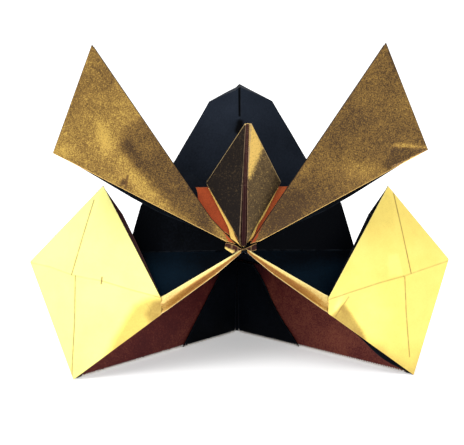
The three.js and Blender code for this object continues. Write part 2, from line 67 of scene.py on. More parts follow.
class Bench:
    """Adds nodes to one shader tree."""

    def __init__(self, tree: bpy.types.NodeTree) -> None:
        """Starts with an empty tree.

        Args:
            tree: the node tree to fill.
        """
        self.tree = tree
        tree.nodes.clear()

    def node(
        self,
        kind: str,
        settings: Optional[dict[str, Any]] = None,
        sockets: Optional[dict[Union[str, int], Any]] = None,
    ) -> bpy.types.Node:
        """Adds a node, sets it up, then fills its sockets.

        Args:
            kind: the node's type.
            settings: properties set first; "stops" gives a colour ramp's stops.
            sockets: values or wrapped sockets by input name or number.

        Returns:
            The node.
        """
        made = self.tree.nodes.new(kind)
        for key, value in (settings or {}).items():
            if key == "stops":
                self._set_stops(made.color_ramp, value)
            else:
                setattr(made, key, value)
        for key, value in (sockets or {}).items():
            if isinstance(value, Wire):
                self.tree.links.new(value.socket, made.inputs[key])
            else:
                made.inputs[key].default_value = value
        return made

    @staticmethod
    def _set_stops(ramp: bpy.types.ColorRamp, stops: Sequence[tuple[float, Colour]]) -> None:
        """Gives a ramp its stops.

        Args:
            ramp: the colour ramp.
            stops: place and colour of each stop, in order.
        """
        while len(ramp.elements) < len(stops):
            ramp.elements.new(0.5)
        for element, (place, colour) in zip(ramp.elements, stops):
            element.position = place
            element.color = (*colour, 1.0)

    def wire(self, node: bpy.types.Node, output: Union[str, int] = 0) -> "Wire":
        """Wraps one output of a node."""
        return Wire(self, node.outputs[output])

    def place(self) -> "Wire":
        """The point on the piece, in metres."""
        return self.wire(self.node("ShaderNodeTexCoord"), "Object")

    def attribute(self, name: str) -> "Wire":
        """A number stored on the piece's mesh."""
        return self.wire(self.node("ShaderNodeAttribute", {"attribute_name": name}), "Fac")

    def axis(self, name: str) -> "Wire":
        """One coordinate of the point on the piece, in millimetres."""
        return self.wire(self.node("ShaderNodeSeparateXYZ", {}, {0: self.place()}), name) * (1 / MM)

    def clouds(self, pattern: "Clouds") -> "Wire":
        """Soft noise from 0 to 1.

        Args:
            pattern: its size and roughness.

        Returns:
            The noise value.
        """
        by = tuple(c * MM for c in pattern.shift)
        moved = self.node("ShaderNodeVectorMath", {"operation": "ADD"}, {0: self.place(), 1: by})
        sockets = {
            "Vector": self.wire(moved),
            "Scale": 1.0 / (pattern.size * MM),
            "Detail": pattern.detail,
            "Roughness": pattern.roughness,
        }
        return self.wire(self.node("ShaderNodeTexNoise", {"noise_dimensions": "3D"}, sockets))

    def stroke(self, line: "Stroke") -> "Wire":
        """A line drawn on the front of the helmet.

        Args:
            line: its points, width and strength.

        Returns:
            Its strength on the line, 0 away from it.
        """
        x, z = self.axis("X"), self.axis("Z")
        nearest = None
        for (ax, az), (bx, bz) in zip(line.points, line.points[1:]):
            dx, dz = bx - ax, bz - az
            along = (((x - ax) * dx + (z - az) * dz) * (1 / (dx * dx + dz * dz))).clamped()
            beside, above = x - ax - along * dx, z - az - along * dz
            squared = beside * beside + above * above
            nearest = squared if nearest is None else nearest.at_most(squared)
        away = (nearest**0.5).between(line.CORE * line.width, line.EDGE * line.width)
        return (1.0 - away) * line.share

    def blend(self, share: Any, first: Any, second: Any) -> "Wire":
        """Mixes two colours.

        Args:
            share: 0 gives the first, 1 the second.
            first: colour or wrapped socket.
            second: colour or wrapped socket.

        Returns:
            The mixed colour.
        """
        settings = {"data_type": "RGBA", "blend_type": "MIX", "clamp_factor": True}
        sockets = {0: share, 6: _rgba(first), 7: _rgba(second)}
        return self.wire(self.node("ShaderNodeMix", settings, sockets), 2)

    def ramp(self, value: "Wire", stops: Sequence[tuple[float, Colour]]) -> "Wire":
        """Turns a number into a colour."""
        return self.wire(self.node("ShaderNodeValToRGB", {"stops": stops}, {"Fac": value}), "Color")

    def bump(self, strength: float, depth_mm: float, height: "Wire") -> "Wire":
        """Relief that shows only in how the light falls.

        Args:
            strength: how strongly it shows, from 0 to 1.
            depth_mm: how far a height of 1 stands up.
            height: the relief.

        Returns:
            The normal for a shader.
        """
        sockets = {"Strength": strength, "Distance": depth_mm * MM, "Height": height}
        return self.wire(self.node("ShaderNodeBump", {}, sockets))

    def surface(self, shader: str, output: str, sockets: dict[str, Any]) -> None:
        """Adds the shader and leads it to the tree's output.

        Args:
            shader: the shader node's type.
            output: the output node's type.
            sockets: what goes into the shader, by input name.
        """
        made = self.node(shader, {}, sockets)
        self.node(output, {}, {"Surface": self.wire(made)})


@dataclass(frozen=True)
class Clouds:
    """Soft noise.

    size: width of one cloud, in millimetres. detail: how many finer layers it has. roughness: how strong
    those are. shift: moves the pattern, so that two of them differ.
    """

    size: float
    detail: float = 2.0
    roughness: float = 0.5
    shift: Point = (0, 0, 0)


@dataclass(frozen=True)
class Stroke:
    """A thin line pressed into the paper: x, z of its points and its width, in millimetres.

    It is full up to CORE times its width from its middle, and gone at EDGE times its width.
    """

    CORE = 0.3
    EDGE = 0.75

    points: tuple[tuple[float, float], ...]
    width: float = 0.35
    share: float = 0.8


def _rgba(colour: Any) -> Any:
    """A plain colour gets its fourth number; a wrapped socket stays."""
    return colour if isinstance(colour, Wire) else (*colour, 1.0)


class Wire:
    """A socket that adds Math nodes as Python operators are used on it."""

    def __init__(self, bench: Bench, socket: bpy.types.NodeSocket) -> None:
        """Wraps a socket.

        Args:
            bench: the tree's bench.
            socket: the output to carry on from.
        """
        self.bench = bench
        self.socket = socket

    def _math(self, operation: str, *values: Any, clamp: bool = False) -> "Wire":
        """Adds one Math node.

        Args:
            operation: what it does.
            values: its inputs, numbers or wrapped sockets.
            clamp: whether the result is kept from 0 to 1.

        Returns:
            The result, wrapped.
        """
        settings = {"operation": operation, "use_clamp": clamp}
        return self.bench.wire(self.bench.node("ShaderNodeMath", settings, dict(enumerate(values))))

    def __add__(self, other: Any) -> "Wire":
        """self + other."""
        return self._math("ADD", self, other)

    def __radd__(self, other: Any) -> "Wire":
        """other + self."""
        return self._math("ADD", other, self)

    def __sub__(self, other: Any) -> "Wire":
        """self - other."""
        return self._math("SUBTRACT", self, other)

    def __rsub__(self, other: Any) -> "Wire":
        """other - self."""
        return self._math("SUBTRACT", other, self)

    def __mul__(self, other: Any) -> "Wire":
        """self * other."""
        return self._math("MULTIPLY", self, other)

    def __rmul__(self, other: Any) -> "Wire":
        """other * self."""
        return self._math("MULTIPLY", other, self)

    def __pow__(self, other: Any) -> "Wire":
        """self ** other."""
        return self._math("POWER", self, other)

    def at_least(self, low: float) -> "Wire":
        """The larger of self and low."""
        return self._math("MAXIMUM", self, low)

    def at_most(self, other: Any) -> "Wire":
        """The smaller of self and other."""
        return self._math("MINIMUM", self, other)

    def clamped(self) -> "Wire":
        """self, kept from 0 to 1."""
        return self._math("ADD", self, 0.0, clamp=True)

    def between(self, low: float, high: float) -> "Wire":
        """self, stretched so that low becomes 0 and high 1, and kept there."""
        return self._math("MULTIPLY", self - low, 1.0 / (high - low), clamp=True)


# Finishes


@dataclass(frozen=True)
class Coating:
    """What all finishes share: a name, and one shader in a material."""

    name: str

    def material(self) -> bpy.types.Material:
        """Makes the material.

        Returns:
            The finished material.
        """
        material = bpy.data.materials.new(self.name)
        material.use_nodes = True
        bench = Bench(material.node_tree)
        bench.surface("ShaderNodeBsdfPrincipled", "ShaderNodeOutputMaterial", self.sockets(bench))
        return material

    def sockets(self, bench: Bench) -> dict[str, Any]:
        """What goes into the shader; each finish says it for itself."""
        raise NotImplementedError


@dataclass(frozen=True)
class Foil(Coating):
    """Metal foil on paper: mottled tone, sandy grain, crinkles, and lines where it was folded.

    dark, middle, light: colours by tone. grain_mm: size of the sandy grain; specks are speck_size times that.
    rim_share, fold_share: strength of the lines. broad_share to speck_share: how much of each pattern goes
    into the tone. patch_polish, sand_polish: how much goes into the roughness. The ranges say where worn
    places, rims and folds begin and where they are full.
    """

    dark: Colour
    middle: Colour
    light: Colour
    # lower_rim, upper_rim: rims that face down and up, painted highlight or painted shade by which way they
    # face; on the shaded gold, lower_rim is the paper's white core
    lower_rim: Colour
    upper_rim: Colour
    # fold_line: the crease's own tint with painted shade in it where darker than the foil, a painted
    # highlight along the fold where lighter
    fold_line: Colour
    metallic: float = 0.8
    roughness: float = 0.42
    mottle: float = 0.5
    grain: float = 0.3
    grain_mm: float = 0.55
    crinkle: float = 0.25
    specular: float = 0.5
    rim_share: float = 0.8
    fold_share: float = 0.8
    strokes: tuple[Stroke, ...] = ()
    broad: Clouds = Clouds(26.0, 3.0, 0.55)
    patches: Clouds = Clouds(7.0, 4.0, 0.6, (31, 7, 12))
    worn: Clouds = Clouds(2.2, 3.0, 0.6, (9, 2, 4))
    crinkles: Clouds = Clouds(1.6, 3.0, 0.65, (14, 1, 6))
    crinkle_depth_mm: float = 0.6
    speck_size: float = 3.0
    broad_share: float = 1.5
    patch_share: float = 1.1
    sand_share: float = 2.3
    speck_share: float = 0.5
    patch_polish: float = 0.25
    sand_polish: float = 0.15
    worn_range: tuple[float, float] = (0.2, 0.55)
    rim_range: tuple[float, float] = (0.15, 0.6)
    fold_range: tuple[float, float] = (0.1, 0.8)

    def sockets(self, bench: Bench) -> dict[str, Any]:
        """Mottled colour, uneven polish and crinkles.

        Args:
            bench: the material's bench.

        Returns:
            What goes into the shader, by input name.
        """
        broad, patches = bench.clouds(self.broad), bench.clouds(self.patches)
        sand = bench.clouds(Clouds(self.grain_mm, 2.0, 0.7, (3, 5, 9)))
        specks = bench.clouds(Clouds(self.speck_size * self.grain_mm, 2.0, 0.6, (13, 15, 2)))
        tone = (
            0.5
            + (broad - 0.5) * (self.broad_share * self.mottle)
            + (patches - 0.5) * (self.patch_share * self.mottle)
            + (sand - 0.5) * (self.sand_share * self.grain)
            + (specks - 0.5) * (self.speck_share * self.grain)
            + bench.attribute("tone")
        ).clamped()
        colour = bench.ramp(tone, [(0.0, self.dark), (0.5, self.middle), (1.0, self.light)])
        height = patches * 0.5 + bench.clouds(self.crinkles) * 0.3 + sand * 0.1
        return {
            "Base Color": self._lines(bench, colour),
            "Roughness": (
                self.roughness + (patches - 0.5) * self.patch_polish + (sand - 0.5) * self.sand_polish
            ).clamped(),
            "Metallic": self.metallic,
            "Specular IOR Level": self.specular,
            "Normal": bench.bump(self.crinkle, self.crinkle_depth_mm, height),
        }

    def _lines(self, bench: Bench, colour: Wire) -> Wire:
        """Rims coloured by which way they face, as painted highlight and shade, fold lines and drawn lines,
        each worn in places.

        Args:
            bench: the material's bench.
            colour: the foil's colour without them.

        Returns:
            The colour with them.
        """
        rim, lean = bench.attribute("rim"), bench.attribute("rim_lean")
        worn = bench.clouds(self.worn).between(*self.worn_range)
        below = (rim * lean.at_least(0.0)).between(*self.rim_range)
        above = (rim * (0.0 - lean).at_least(0.0)).between(*self.rim_range)
        fold = bench.attribute("fold").between(*self.fold_range) * self.fold_share
        colour = bench.blend(fold * worn, colour, self.fold_line)
        for line in self.strokes:
            colour = bench.blend(bench.stroke(line) * (worn * 0.5 + 0.5), colour, self.fold_line)
        colour = bench.blend(above * (worn * 0.6 + 0.4) * self.rim_share, colour, self.upper_rim)
        return bench.blend(below * (worn * 0.5 + 0.5) * self.rim_share, colour, self.lower_rim)


@dataclass(frozen=True)
class BlackPaper(Coating):
    """Black side of the sheet: a blue-black coat with faint fibres, paler where it was folded or rubbed.

    gaps: openings on the front of the sheet, drawn black as painted shade. gap_depth: y where they begin to
    fade and are gone.
    """

    deep: Colour
    raised: Colour
    rubbed: Colour
    roughness: float = 0.55
    specular: float = 0.025
    bump: float = 0.3
    bump_depth_mm: float = 0.4
    broad: Clouds = Clouds(30.0, 3.0, 0.5, (5, 11, 2))
    fibre: Clouds = Clouds(0.8, 4.0, 0.7, (1, 6, 3))
    worn: Clouds = Clouds(3.0, 3.0, 0.6, (2, 2, 8))
    ripples: Clouds = Clouds(4.0, 3.0, 0.6, (8, 3, 1))
    base_tone: float = 0.45
    broad_share: float = 0.9
    fibre_share: float = 0.6
    fibre_polish: float = 0.2
    worn_range: tuple[float, float] = (0.35, 0.7)
    line_range: tuple[float, float] = (0.3, 1.0)
    gaps: tuple[Stroke, ...] = ()
    gap_colour: Colour = (0.0, 0.0, 0.0)
    gap_depth: tuple[float, float] = (7.0, 9.0)

    def sockets(self, bench: Bench) -> dict[str, Any]:
        """Dark colour, pale lines and faint fibres.

        Args:
            bench: the material's bench.

        Returns:
            What goes into the shader, by input name.
        """
        broad, fibre = bench.clouds(self.broad), bench.clouds(self.fibre)
        tone = self.base_tone + (broad - 0.5) * self.broad_share + (fibre - 0.5) * self.fibre_share
        colour = bench.blend((tone + bench.attribute("tone")).clamped(), self.deep, self.raised)
        worn = bench.clouds(self.worn).between(*self.worn_range)
        rim, fold = (bench.attribute(name).between(*self.line_range) for name in ("rim", "fold"))
        colour = bench.blend((rim * 0.5 + fold * 0.6) * worn, colour, self.rubbed)
        if self.gaps:
            forward = 1.0 - bench.axis("Y").between(*self.gap_depth)
            for line in self.gaps:
                colour = bench.blend(bench.stroke(line) * forward, colour, self.gap_colour)
        height = fibre * 0.4 + bench.clouds(self.ripples) * 0.6
        return {
            "Base Color": colour,
            "Roughness": (self.roughness + (fibre - 0.5) * self.fibre_polish).clamped(),
            "Specular IOR Level": self.specular,
            "Normal": bench.bump(self.bump, self.bump_depth_mm, height),
        }


@dataclass(frozen=True)
class RawPaper(Coating):
    """White core of the sheet, where it was cut."""

    pale: Colour = (0.92, 0.9, 0.86)
    shade: Colour = (0.6, 0.55, 0.5)
    roughness: float = 0.85
    fibre: Clouds = Clouds(0.6, 4.0, 0.7)
    fibre_range: tuple[float, float] = (0.35, 0.7)
    bump: float = 0.4
    bump_depth_mm: float = 0.2

    def sockets(self, bench: Bench) -> dict[str, Any]:
        """White colour with shaded fibres.

        Args:
            bench: the material's bench.

        Returns:
            What goes into the shader, by input name.
        """
        fibre = bench.clouds(self.fibre)
        return {
            "Base Color": bench.blend(fibre.between(*self.fibre_range), self.shade, self.pale),
            "Roughness": self.roughness,
            "Normal": bench.bump(self.bump, self.bump_depth_mm, fibre),
        }


@dataclass(frozen=True)
class FloorPaint(Coating):
    """Plain near-white floor that glows a little."""

    colour: Colour = (0.93, 0.93, 0.93)
    pale: Colour = (0.96, 0.96, 0.96)
    pale_share: float = 0.1
    clouds: Clouds = Clouds(90.0)
    roughness: float = 0.9
    glow: float = 0.4

    def sockets(self, bench: Bench) -> dict[str, Any]:
        """Faintly clouded white.

        Args:
            bench: the material's bench.

        Returns:
            What goes into the shader, by input name.
        """
        return {
            "Base Color": bench.blend(bench.clouds(self.clouds) * self.pale_share, self.colour, self.pale),
            "Roughness": self.roughness,
            "Emission Color": (1, 1, 1, 1),
            "Emission Strength": self.glow,
        }


class Finish(Enum):
    """The finishes of the helmet."""

    # Painted light: a lit copy of the gold foil, pale yellow, for the wings; its drawn creases are partly
    # painted shade.
    LIT_GOLD = Foil(
        "lit_gold_foil",
        dark=(0.3, 0.16, 0.035),
        middle=(0.86, 0.67, 0.15),
        light=(0.95, 0.92, 0.31),
        lower_rim=(0.75, 0.45, 0.14),
        upper_rim=(0.95, 0.85, 0.4),
        fold_line=(0.22, 0.11, 0.02),
        metallic=0.15,
        roughness=0.5,
        mottle=0.2,
        grain=0.08,
        crinkle=0.2,
        rim_share=0.4,
        specular=0.25,
        strokes=(
            Stroke(((-57.6, 67.0), (-62.0, 54.1), (-66.5, 40.3)), 0.42, 0.75),
            Stroke(((-65.0, 40.1), (-65.5, 22.8), (-66.7, 4.6), (-66.8, 0.4)), 0.42, 0.75),
            Stroke(((-83.5, 42.7), (-75.1, 42.1), (-66.3, 40.3), (-54.7, 38.5)), 0.5, 0.25),
            Stroke(((-54.7, 38.5), (-43.7, 35.6), (-32.1, 33.1)), 0.45, 0.4),
            Stroke(((-54.6, 39.7), (-54.9, 37.5)), 0.6, 0.8),
            Stroke(((-37.2, 30.1), (-35.6, 27.8), (-36.3, 25.4)), 0.5, 0.18),
            Stroke(((60.7, 69.5), (63.8, 54.7), (66.9, 38.9)), 0.42, 0.8),
            Stroke(((64.2, 37.9), (64.6, 24.5), (65.8, 7.3)), 0.42, 0.7),
            Stroke(((33.9, 31.6), (41.9, 33.6), (54.3, 36.5), (63.7, 38.2)), 0.5, 0.45),
            Stroke(((63.7, 38.2), (72.8, 39.8), (84.4, 41.8)), 0.5, 0.35),
            Stroke(((41.5, 31.8), (39.9, 29.5), (36.4, 24.6)), 0.5, 0.5),
        ),
    )
    # Painted light: the strips' gold foil, from a painted red-orange reflection in the pleat's groove to a
    # painted highlight on its upper facet.
    STRIP = Foil(
        "strip_gold_foil",
        dark=(0.2, 0.06, 0.015),
        middle=(0.44, 0.235, 0.05),
        light=(0.97, 0.8, 0.3),
        lower_rim=(0.8, 0.58, 0.3),
        upper_rim=(0.95, 0.8, 0.36),
        fold_line=(0.3, 0.1, 0.035),
        metallic=0.3,
        mottle=0.25,
        grain=0.2,
        crinkle=0.25,
        specular=0.14,
        fold_share=0.3,
    )
    # Painted highlight: a lit copy of the gold foil, for the hems beside the kite.
    HEM = Foil(
        "hem_gold_foil",
        dark=(0.3, 0.12, 0.03),
        middle=(0.72, 0.42, 0.09),
        light=(0.95, 0.68, 0.18),
        lower_rim=(0.5, 0.22, 0.06),
        upper_rim=(0.95, 0.75, 0.3),
        fold_line=(0.3, 0.1, 0.035),
        metallic=0.3,
        mottle=0.25,
        grain=0.2,
        specular=0.12,
    )
    # Painted shade: a darker copy of the gold foil, for the horns, with its own sandy grain.
    SHADED_GRAINY = Foil(
        "shaded_grainy_gold_foil",
        dark=(0.058, 0.0315, 0.0145),
        middle=(0.24, 0.135, 0.034),
        light=(0.6, 0.39, 0.085),
        lower_rim=(0.85, 0.55, 0.18),
        upper_rim=(0.05, 0.026, 0.014),
        fold_line=(0.12, 0.06, 0.02),
        mottle=0.36,
        grain=0.8,
        grain_mm=0.45,
        rim_share=0.9,
        strokes=(
            Stroke(((-44.1, 81.8), (-44.4, 79.6), (-44.9, 77.2)), 0.8, 0.9),
            Stroke(((-44.6, 79.3), (-46.4, 78.9), (-48.3, 79.6)), 0.5, 0.5),
        ),
    )
    # Painted shade: a dark copy of the gold foil, for the kite.
    CREST = Foil(
        "crest_gold_foil",
        dark=(0.012, 0.0085, 0.007),
        middle=(0.105, 0.068, 0.031),
        light=(0.64, 0.42, 0.11),
        lower_rim=(0.45, 0.3, 0.12),
        upper_rim=(0.75, 0.52, 0.2),
        fold_line=(0.3, 0.2, 0.12),
        mottle=0.2,
        grain=0.5,
        specular=0.3,
    )
    # Painted shade: the gold foil as deep maroon, for the kite's slot and the left wing's back layer.
    GROOVE_SHADE = Foil(
        "groove_shade_maroon_foil",
        dark=(0.01, 0.003, 0.003),
        middle=(0.028, 0.006, 0.007),
        light=(0.04, 0.012, 0.011),
        lower_rim=(0.3, 0.2, 0.12),
        upper_rim=(0.1, 0.05, 0.04),
        fold_line=(0.09, 0.045, 0.035),
        metallic=0.3,
        mottle=0.2,
        grain=0.2,
        specular=0.1,
    )
    # Painted reflection: the gold foil as red-orange, where gold faces gold in deep folds.
    REFLECTED_RED = Foil(
        "reflected_red_gold_foil",
        dark=(0.17, 0.025, 0.008),
        middle=(0.36, 0.06, 0.016),
        light=(0.5, 0.15, 0.04),
        lower_rim=(0.6, 0.3, 0.1),
        upper_rim=(0.25, 0.06, 0.02),
        fold_line=(0.3, 0.06, 0.02),
        metallic=0.3,
        mottle=0.4,
        grain=0.25,
        specular=0.12,
    )
    # Painted light: the gold foil as maroon shade in the knot's pleats, up to a painted highlight on its lit
    # tab.
    KNOT = Foil(
        "pleated_knot_foil",
        dark=(0.006, 0.002, 0.002),
        middle=(0.042, 0.011, 0.009),
        light=(0.9, 0.66, 0.2),
        lower_rim=(0.6, 0.4, 0.15),
        upper_rim=(0.45, 0.27, 0.1),
        fold_line=(0.5, 0.33, 0.13),
        metallic=0.3,
        mottle=0.3,
        grain=0.2,
        specular=0.1,
        fold_share=0.25,
    )
    SHADED = Foil(
        "shaded_gold_foil",
        dark=(0.035, 0.006, 0.008),
        middle=(0.088, 0.0125, 0.0125),
        light=(0.26, 0.075, 0.04),
        lower_rim=(0.9, 0.86, 0.8),
        upper_rim=(0.06, 0.02, 0.015),
        fold_line=(0.05, 0.015, 0.01),
        metallic=0.3,
        roughness=0.5,
        mottle=0.35,
        grain=0.4,
        specular=0.15,
    )
    BLACK = BlackPaper(
        "black_paper",
        deep=(0.0004, 0.0008, 0.0016),
        raised=(0.01, 0.014, 0.022),
        rubbed=(0.02, 0.026, 0.034),
    )
    # Painted light: a lighter copy of the black paper with a blue sheen, for the dome that faces the lamps.
    CROWN = BlackPaper(
        "crown_black_paper",
        deep=(0.0006, 0.001, 0.002),
        raised=(0.0175, 0.0235, 0.036),
        rubbed=(0.03, 0.037, 0.048),
        # Painted shade: the open slit and its foot drawn black.
        gaps=(
            Stroke(((-0.18, 111.8), (-0.21, 106.3), (-0.25, 100.4)), 0.85, 0.95),
            Stroke(((-0.1, 97.7), (-0.2, 96.6), (-1.0, 94.6)), 2.3, 0.9),
        ),
    )
    # Painted light: the black paper with a blue sheen, for the brow's lower faces that flare out towards the
    # lamps.
    BLUE_SHEEN_BLACK = BlackPaper(
        "blue_sheen_black_paper",
        deep=(0.0001, 0.0008, 0.002),
        raised=(0.003, 0.013, 0.026),
        rubbed=(0.012, 0.02, 0.03),
        specular=0.02,
    )
    RAW = RawPaper("raw_paper")


class Palette:
    """Makes each finish's material once."""

    def __init__(self) -> None:
        """Starts empty."""
        self.made: dict[Finish, bpy.types.Material] = {}

    def __getitem__(self, finish: Finish) -> bpy.types.Material:
        """The material of a finish, made when it is first asked for.

        Args:
            finish: the finish.

        Returns:
            Its material.
        """
        if finish not in self.made:
            self.made[finish] = finish.value.material()
        return self.made[finish]


# Marks: dents pressed into the sheets, and tones that are mostly painted highlights and painted shade


@dataclass(frozen=True, kw_only=True)
class Mark:
    """A place that differs from the rest of its sheet.

    tone: how much lighter or darker. press: how far it is pushed back, in millimetres.
    """

    tone: float = 0.0
    press: float = 0.0

    def weight(self, points: np.ndarray) -> np.ndarray:
        """How strongly each point is marked; each kind of mark says it for itself."""
        raise NotImplementedError


@dataclass(frozen=True)
class Dimple(Mark):
    """A soft round or long mark.

    x, z: middle, in millimetres in the helmet's frame. wide, tall: radii. turn: degrees anticlockwise.
    """

    x: float
    z: float
    wide: float
    tall: float
    turn: float = 0.0

    def weight(self, points: np.ndarray) -> np.ndarray:
        """How strongly each point is marked.

        Args:
            points: the sheet's points, in millimetres.

        Returns:
            From 0 to 1 at each point.
        """
        turn = math.radians(self.turn)
        dx, dz = points[:, 0] - self.x, points[:, 2] - self.z
        along = (dx * math.cos(turn) + dz * math.sin(turn)) / self.wide
        across = (dz * math.cos(turn) - dx * math.sin(turn)) / self.tall
        return np.exp(-(along**2 + across**2))


@dataclass(frozen=True)
class Facet(Mark):
    """A small flattened area with plain edges.

    corners: x, z of each corner, in order round it. soft: width over which its edge fades.
    """

    corners: tuple[tuple[float, float], ...]
    soft: float = 1.0

    def weight(self, points: np.ndarray) -> np.ndarray:
        """How strongly each point is marked.

        Args:
            points: the sheet's points, in millimetres.

        Returns:
            From 0 to 1 at each point.
        """
        corners = np.array(self.corners)
        ends = np.roll(corners, -1, axis=0)
        turn = np.sign(np.sum(corners[:, 0] * ends[:, 1] - ends[:, 0] * corners[:, 1]))
        inside = np.full(len(points), np.inf)
        for (ax, az), (bx, bz) in zip(corners, ends):
            length = math.hypot(bx - ax, bz - az)
            side = turn * ((bx - ax) * (points[:, 2] - az) - (bz - az) * (points[:, 0] - ax)) / length
            inside = np.minimum(inside, side)
        share = np.clip(inside / self.soft + 0.5, 0, 1)
        return share * share * (3 - 2 * share)


@dataclass(frozen=True)
class Fade(Mark):
    """A tone that grows steadily across the sheet.

    start, end: x, z where it starts and where it is full.
    """

    start: tuple[float, float]
    end: tuple[float, float]

    def weight(self, points: np.ndarray) -> np.ndarray:
        """How strongly each point is marked.

        Args:
            points: the sheet's points, in millimetres.

        Returns:
            From 0 to 1 at each point.
        """
        way = np.array(self.end) - np.array(self.start)
        share = (points[:, [0, 2]] - np.array(self.start)) @ way / float(way @ way)
        return np.clip(share, 0, 1)


@dataclass(frozen=True)
class Bands(Mark):
    """Tones across a strip that widens from one end: painted highlights and painted shade across a pleat.

    start, end: x, z of the line that it lies on. width: above that line at its end. sag: below it.
    shares: places from its lower to its upper edge. near, far: tones there, at the start and at the end.
    belly: how much of the sag is there at the shares of its length in belly_at.
    turn_at, turn_over: where the near tones begin to give way to the far ones, and over what share.
    """

    start: tuple[float, float]
    end: tuple[float, float]
    width: float
    sag: float
    shares: tuple[float, ...]
    near: tuple[float, ...]
    far: tuple[float, ...]
    belly_at: tuple[float, ...] = (0, 0.3, 1)
    belly: tuple[float, ...] = (0.5, 1, 0.6)
    turn_at: float = 0.55
    turn_over: float = 0.4
    least_width: float = 0.1

    def weight(self, points: np.ndarray) -> np.ndarray:
        """The tone at each point, for a mark whose own tone is 1.

        Args:
            points: the sheet's points, in millimetres.

        Returns:
            The tone at each point.
        """
        share = (points[:, 0] - self.start[0]) / (self.end[0] - self.start[0])
        line = self.start[1] + share * (self.end[1] - self.start[1])
        low = -self.sag * np.interp(share, self.belly_at, self.belly)
        across = (points[:, 2] - line - low) / np.maximum(self.width * share - low, self.least_width)
        turned = np.clip((share - self.turn_at) / self.turn_over, 0, 1)
        near, far = (np.interp(across, self.shares, tones) for tones in (self.near, self.far))
        return near * (1 - turned) + far * turned


@dataclass(frozen=True)
class Pull:
    """Draws the sheet aside round one place.

    x, z: its middle. wide, tall: radii. move: how far along x, y and z. turn: degrees anticlockwise.
    """

    x: float
    z: float
    wide: float
    tall: float
    move: Point
    turn: float = 0.0

    def shift(self, points: np.ndarray) -> np.ndarray:
        """How far each point moves."""
        weight = Dimple(self.x, self.z, self.wide, self.tall, self.turn).weight(points)
        return weight[:, None] * np.array(self.move)


class Lines(Enum):
    """Which folds show as lines: those that rise by at least this share of their length.

    A share of 2 rules out every fold.
    """

    ALL = 0.0
    STEEP = 0.9
    NONE = 2.0

    def shows(self, start: np.ndarray, end: np.ndarray) -> bool:
        """Whether the fold between two points shows."""
        return bool(abs(end[2] - start[2]) >= self.value * np.linalg.norm(end - start))


# Sheets


class ShowSide(Enum):
    """Which skin of a packed flap carries the fine sheet."""

    FRONT = "the skin that the flap's layers were pushed back from"
    PANEL_FRONT = "the flat side that looks forward"
    PANEL_BACK = "the flat side that looks back"
    SHELL = "the outer skin of a hollow shell"


@dataclass(frozen=True)
class Paper:
    """How a sheet is cut and bent, in millimetres.

    cell: side of a cell. rows: how far in the first rows lie. wall: thickness. round: radius of the rim.
    reach: how far the rim stands out. puff, wave: height of both, with their widths. ripple: share of a finer
    wave, ripple_rate times as close. calm: how far from the rim the wave dies down, to the share rim_wave.
    line: half the width of a fold's or a rim's line.
    """

    cell: float = 1.1
    rows: tuple[float, ...] = (0.4, 0.95)
    wall: float = 0.6
    round: float = 0.16
    reach: float = 0.0
    puff: float = 0.35
    puff_width: float = 7.0
    wave: float = 0.35
    wave_width: float = 24.0
    ripple: float = 0.35
    ripple_rate: float = 2.7
    calm: float = 3.0
    rim_wave: float = 0.35
    line: float = 0.4


BODY_PAPER = Paper(cell=1.5, wall=0.8, reach=0.13, puff=0.5, puff_width=9.0, wave=0.2)
NECK_PAPER = Paper(cell=1.2, puff=0.15, wave=0.12)
HORN_PAPER = Paper(cell=0.95, puff=0.12, wave=0.5, wave_width=22.0)
CREST_PAPER = Paper(cell=0.8, rows=(0.3, 0.8), puff=0.1, wave=0.12, line=0.3)
KNOT_PAPER = Paper(cell=0.5, rows=(0.2, 0.45), puff=0.08, wave=0.1, round=0.12)
STRIP_PAPER = Paper(cell=0.6, rows=(0.25, 0.55), puff=0.06, wave=0.12, reach=0.12)
WING_PAPER = Paper(cell=1.0, puff=0.3, wave=0.25, reach=0.1)


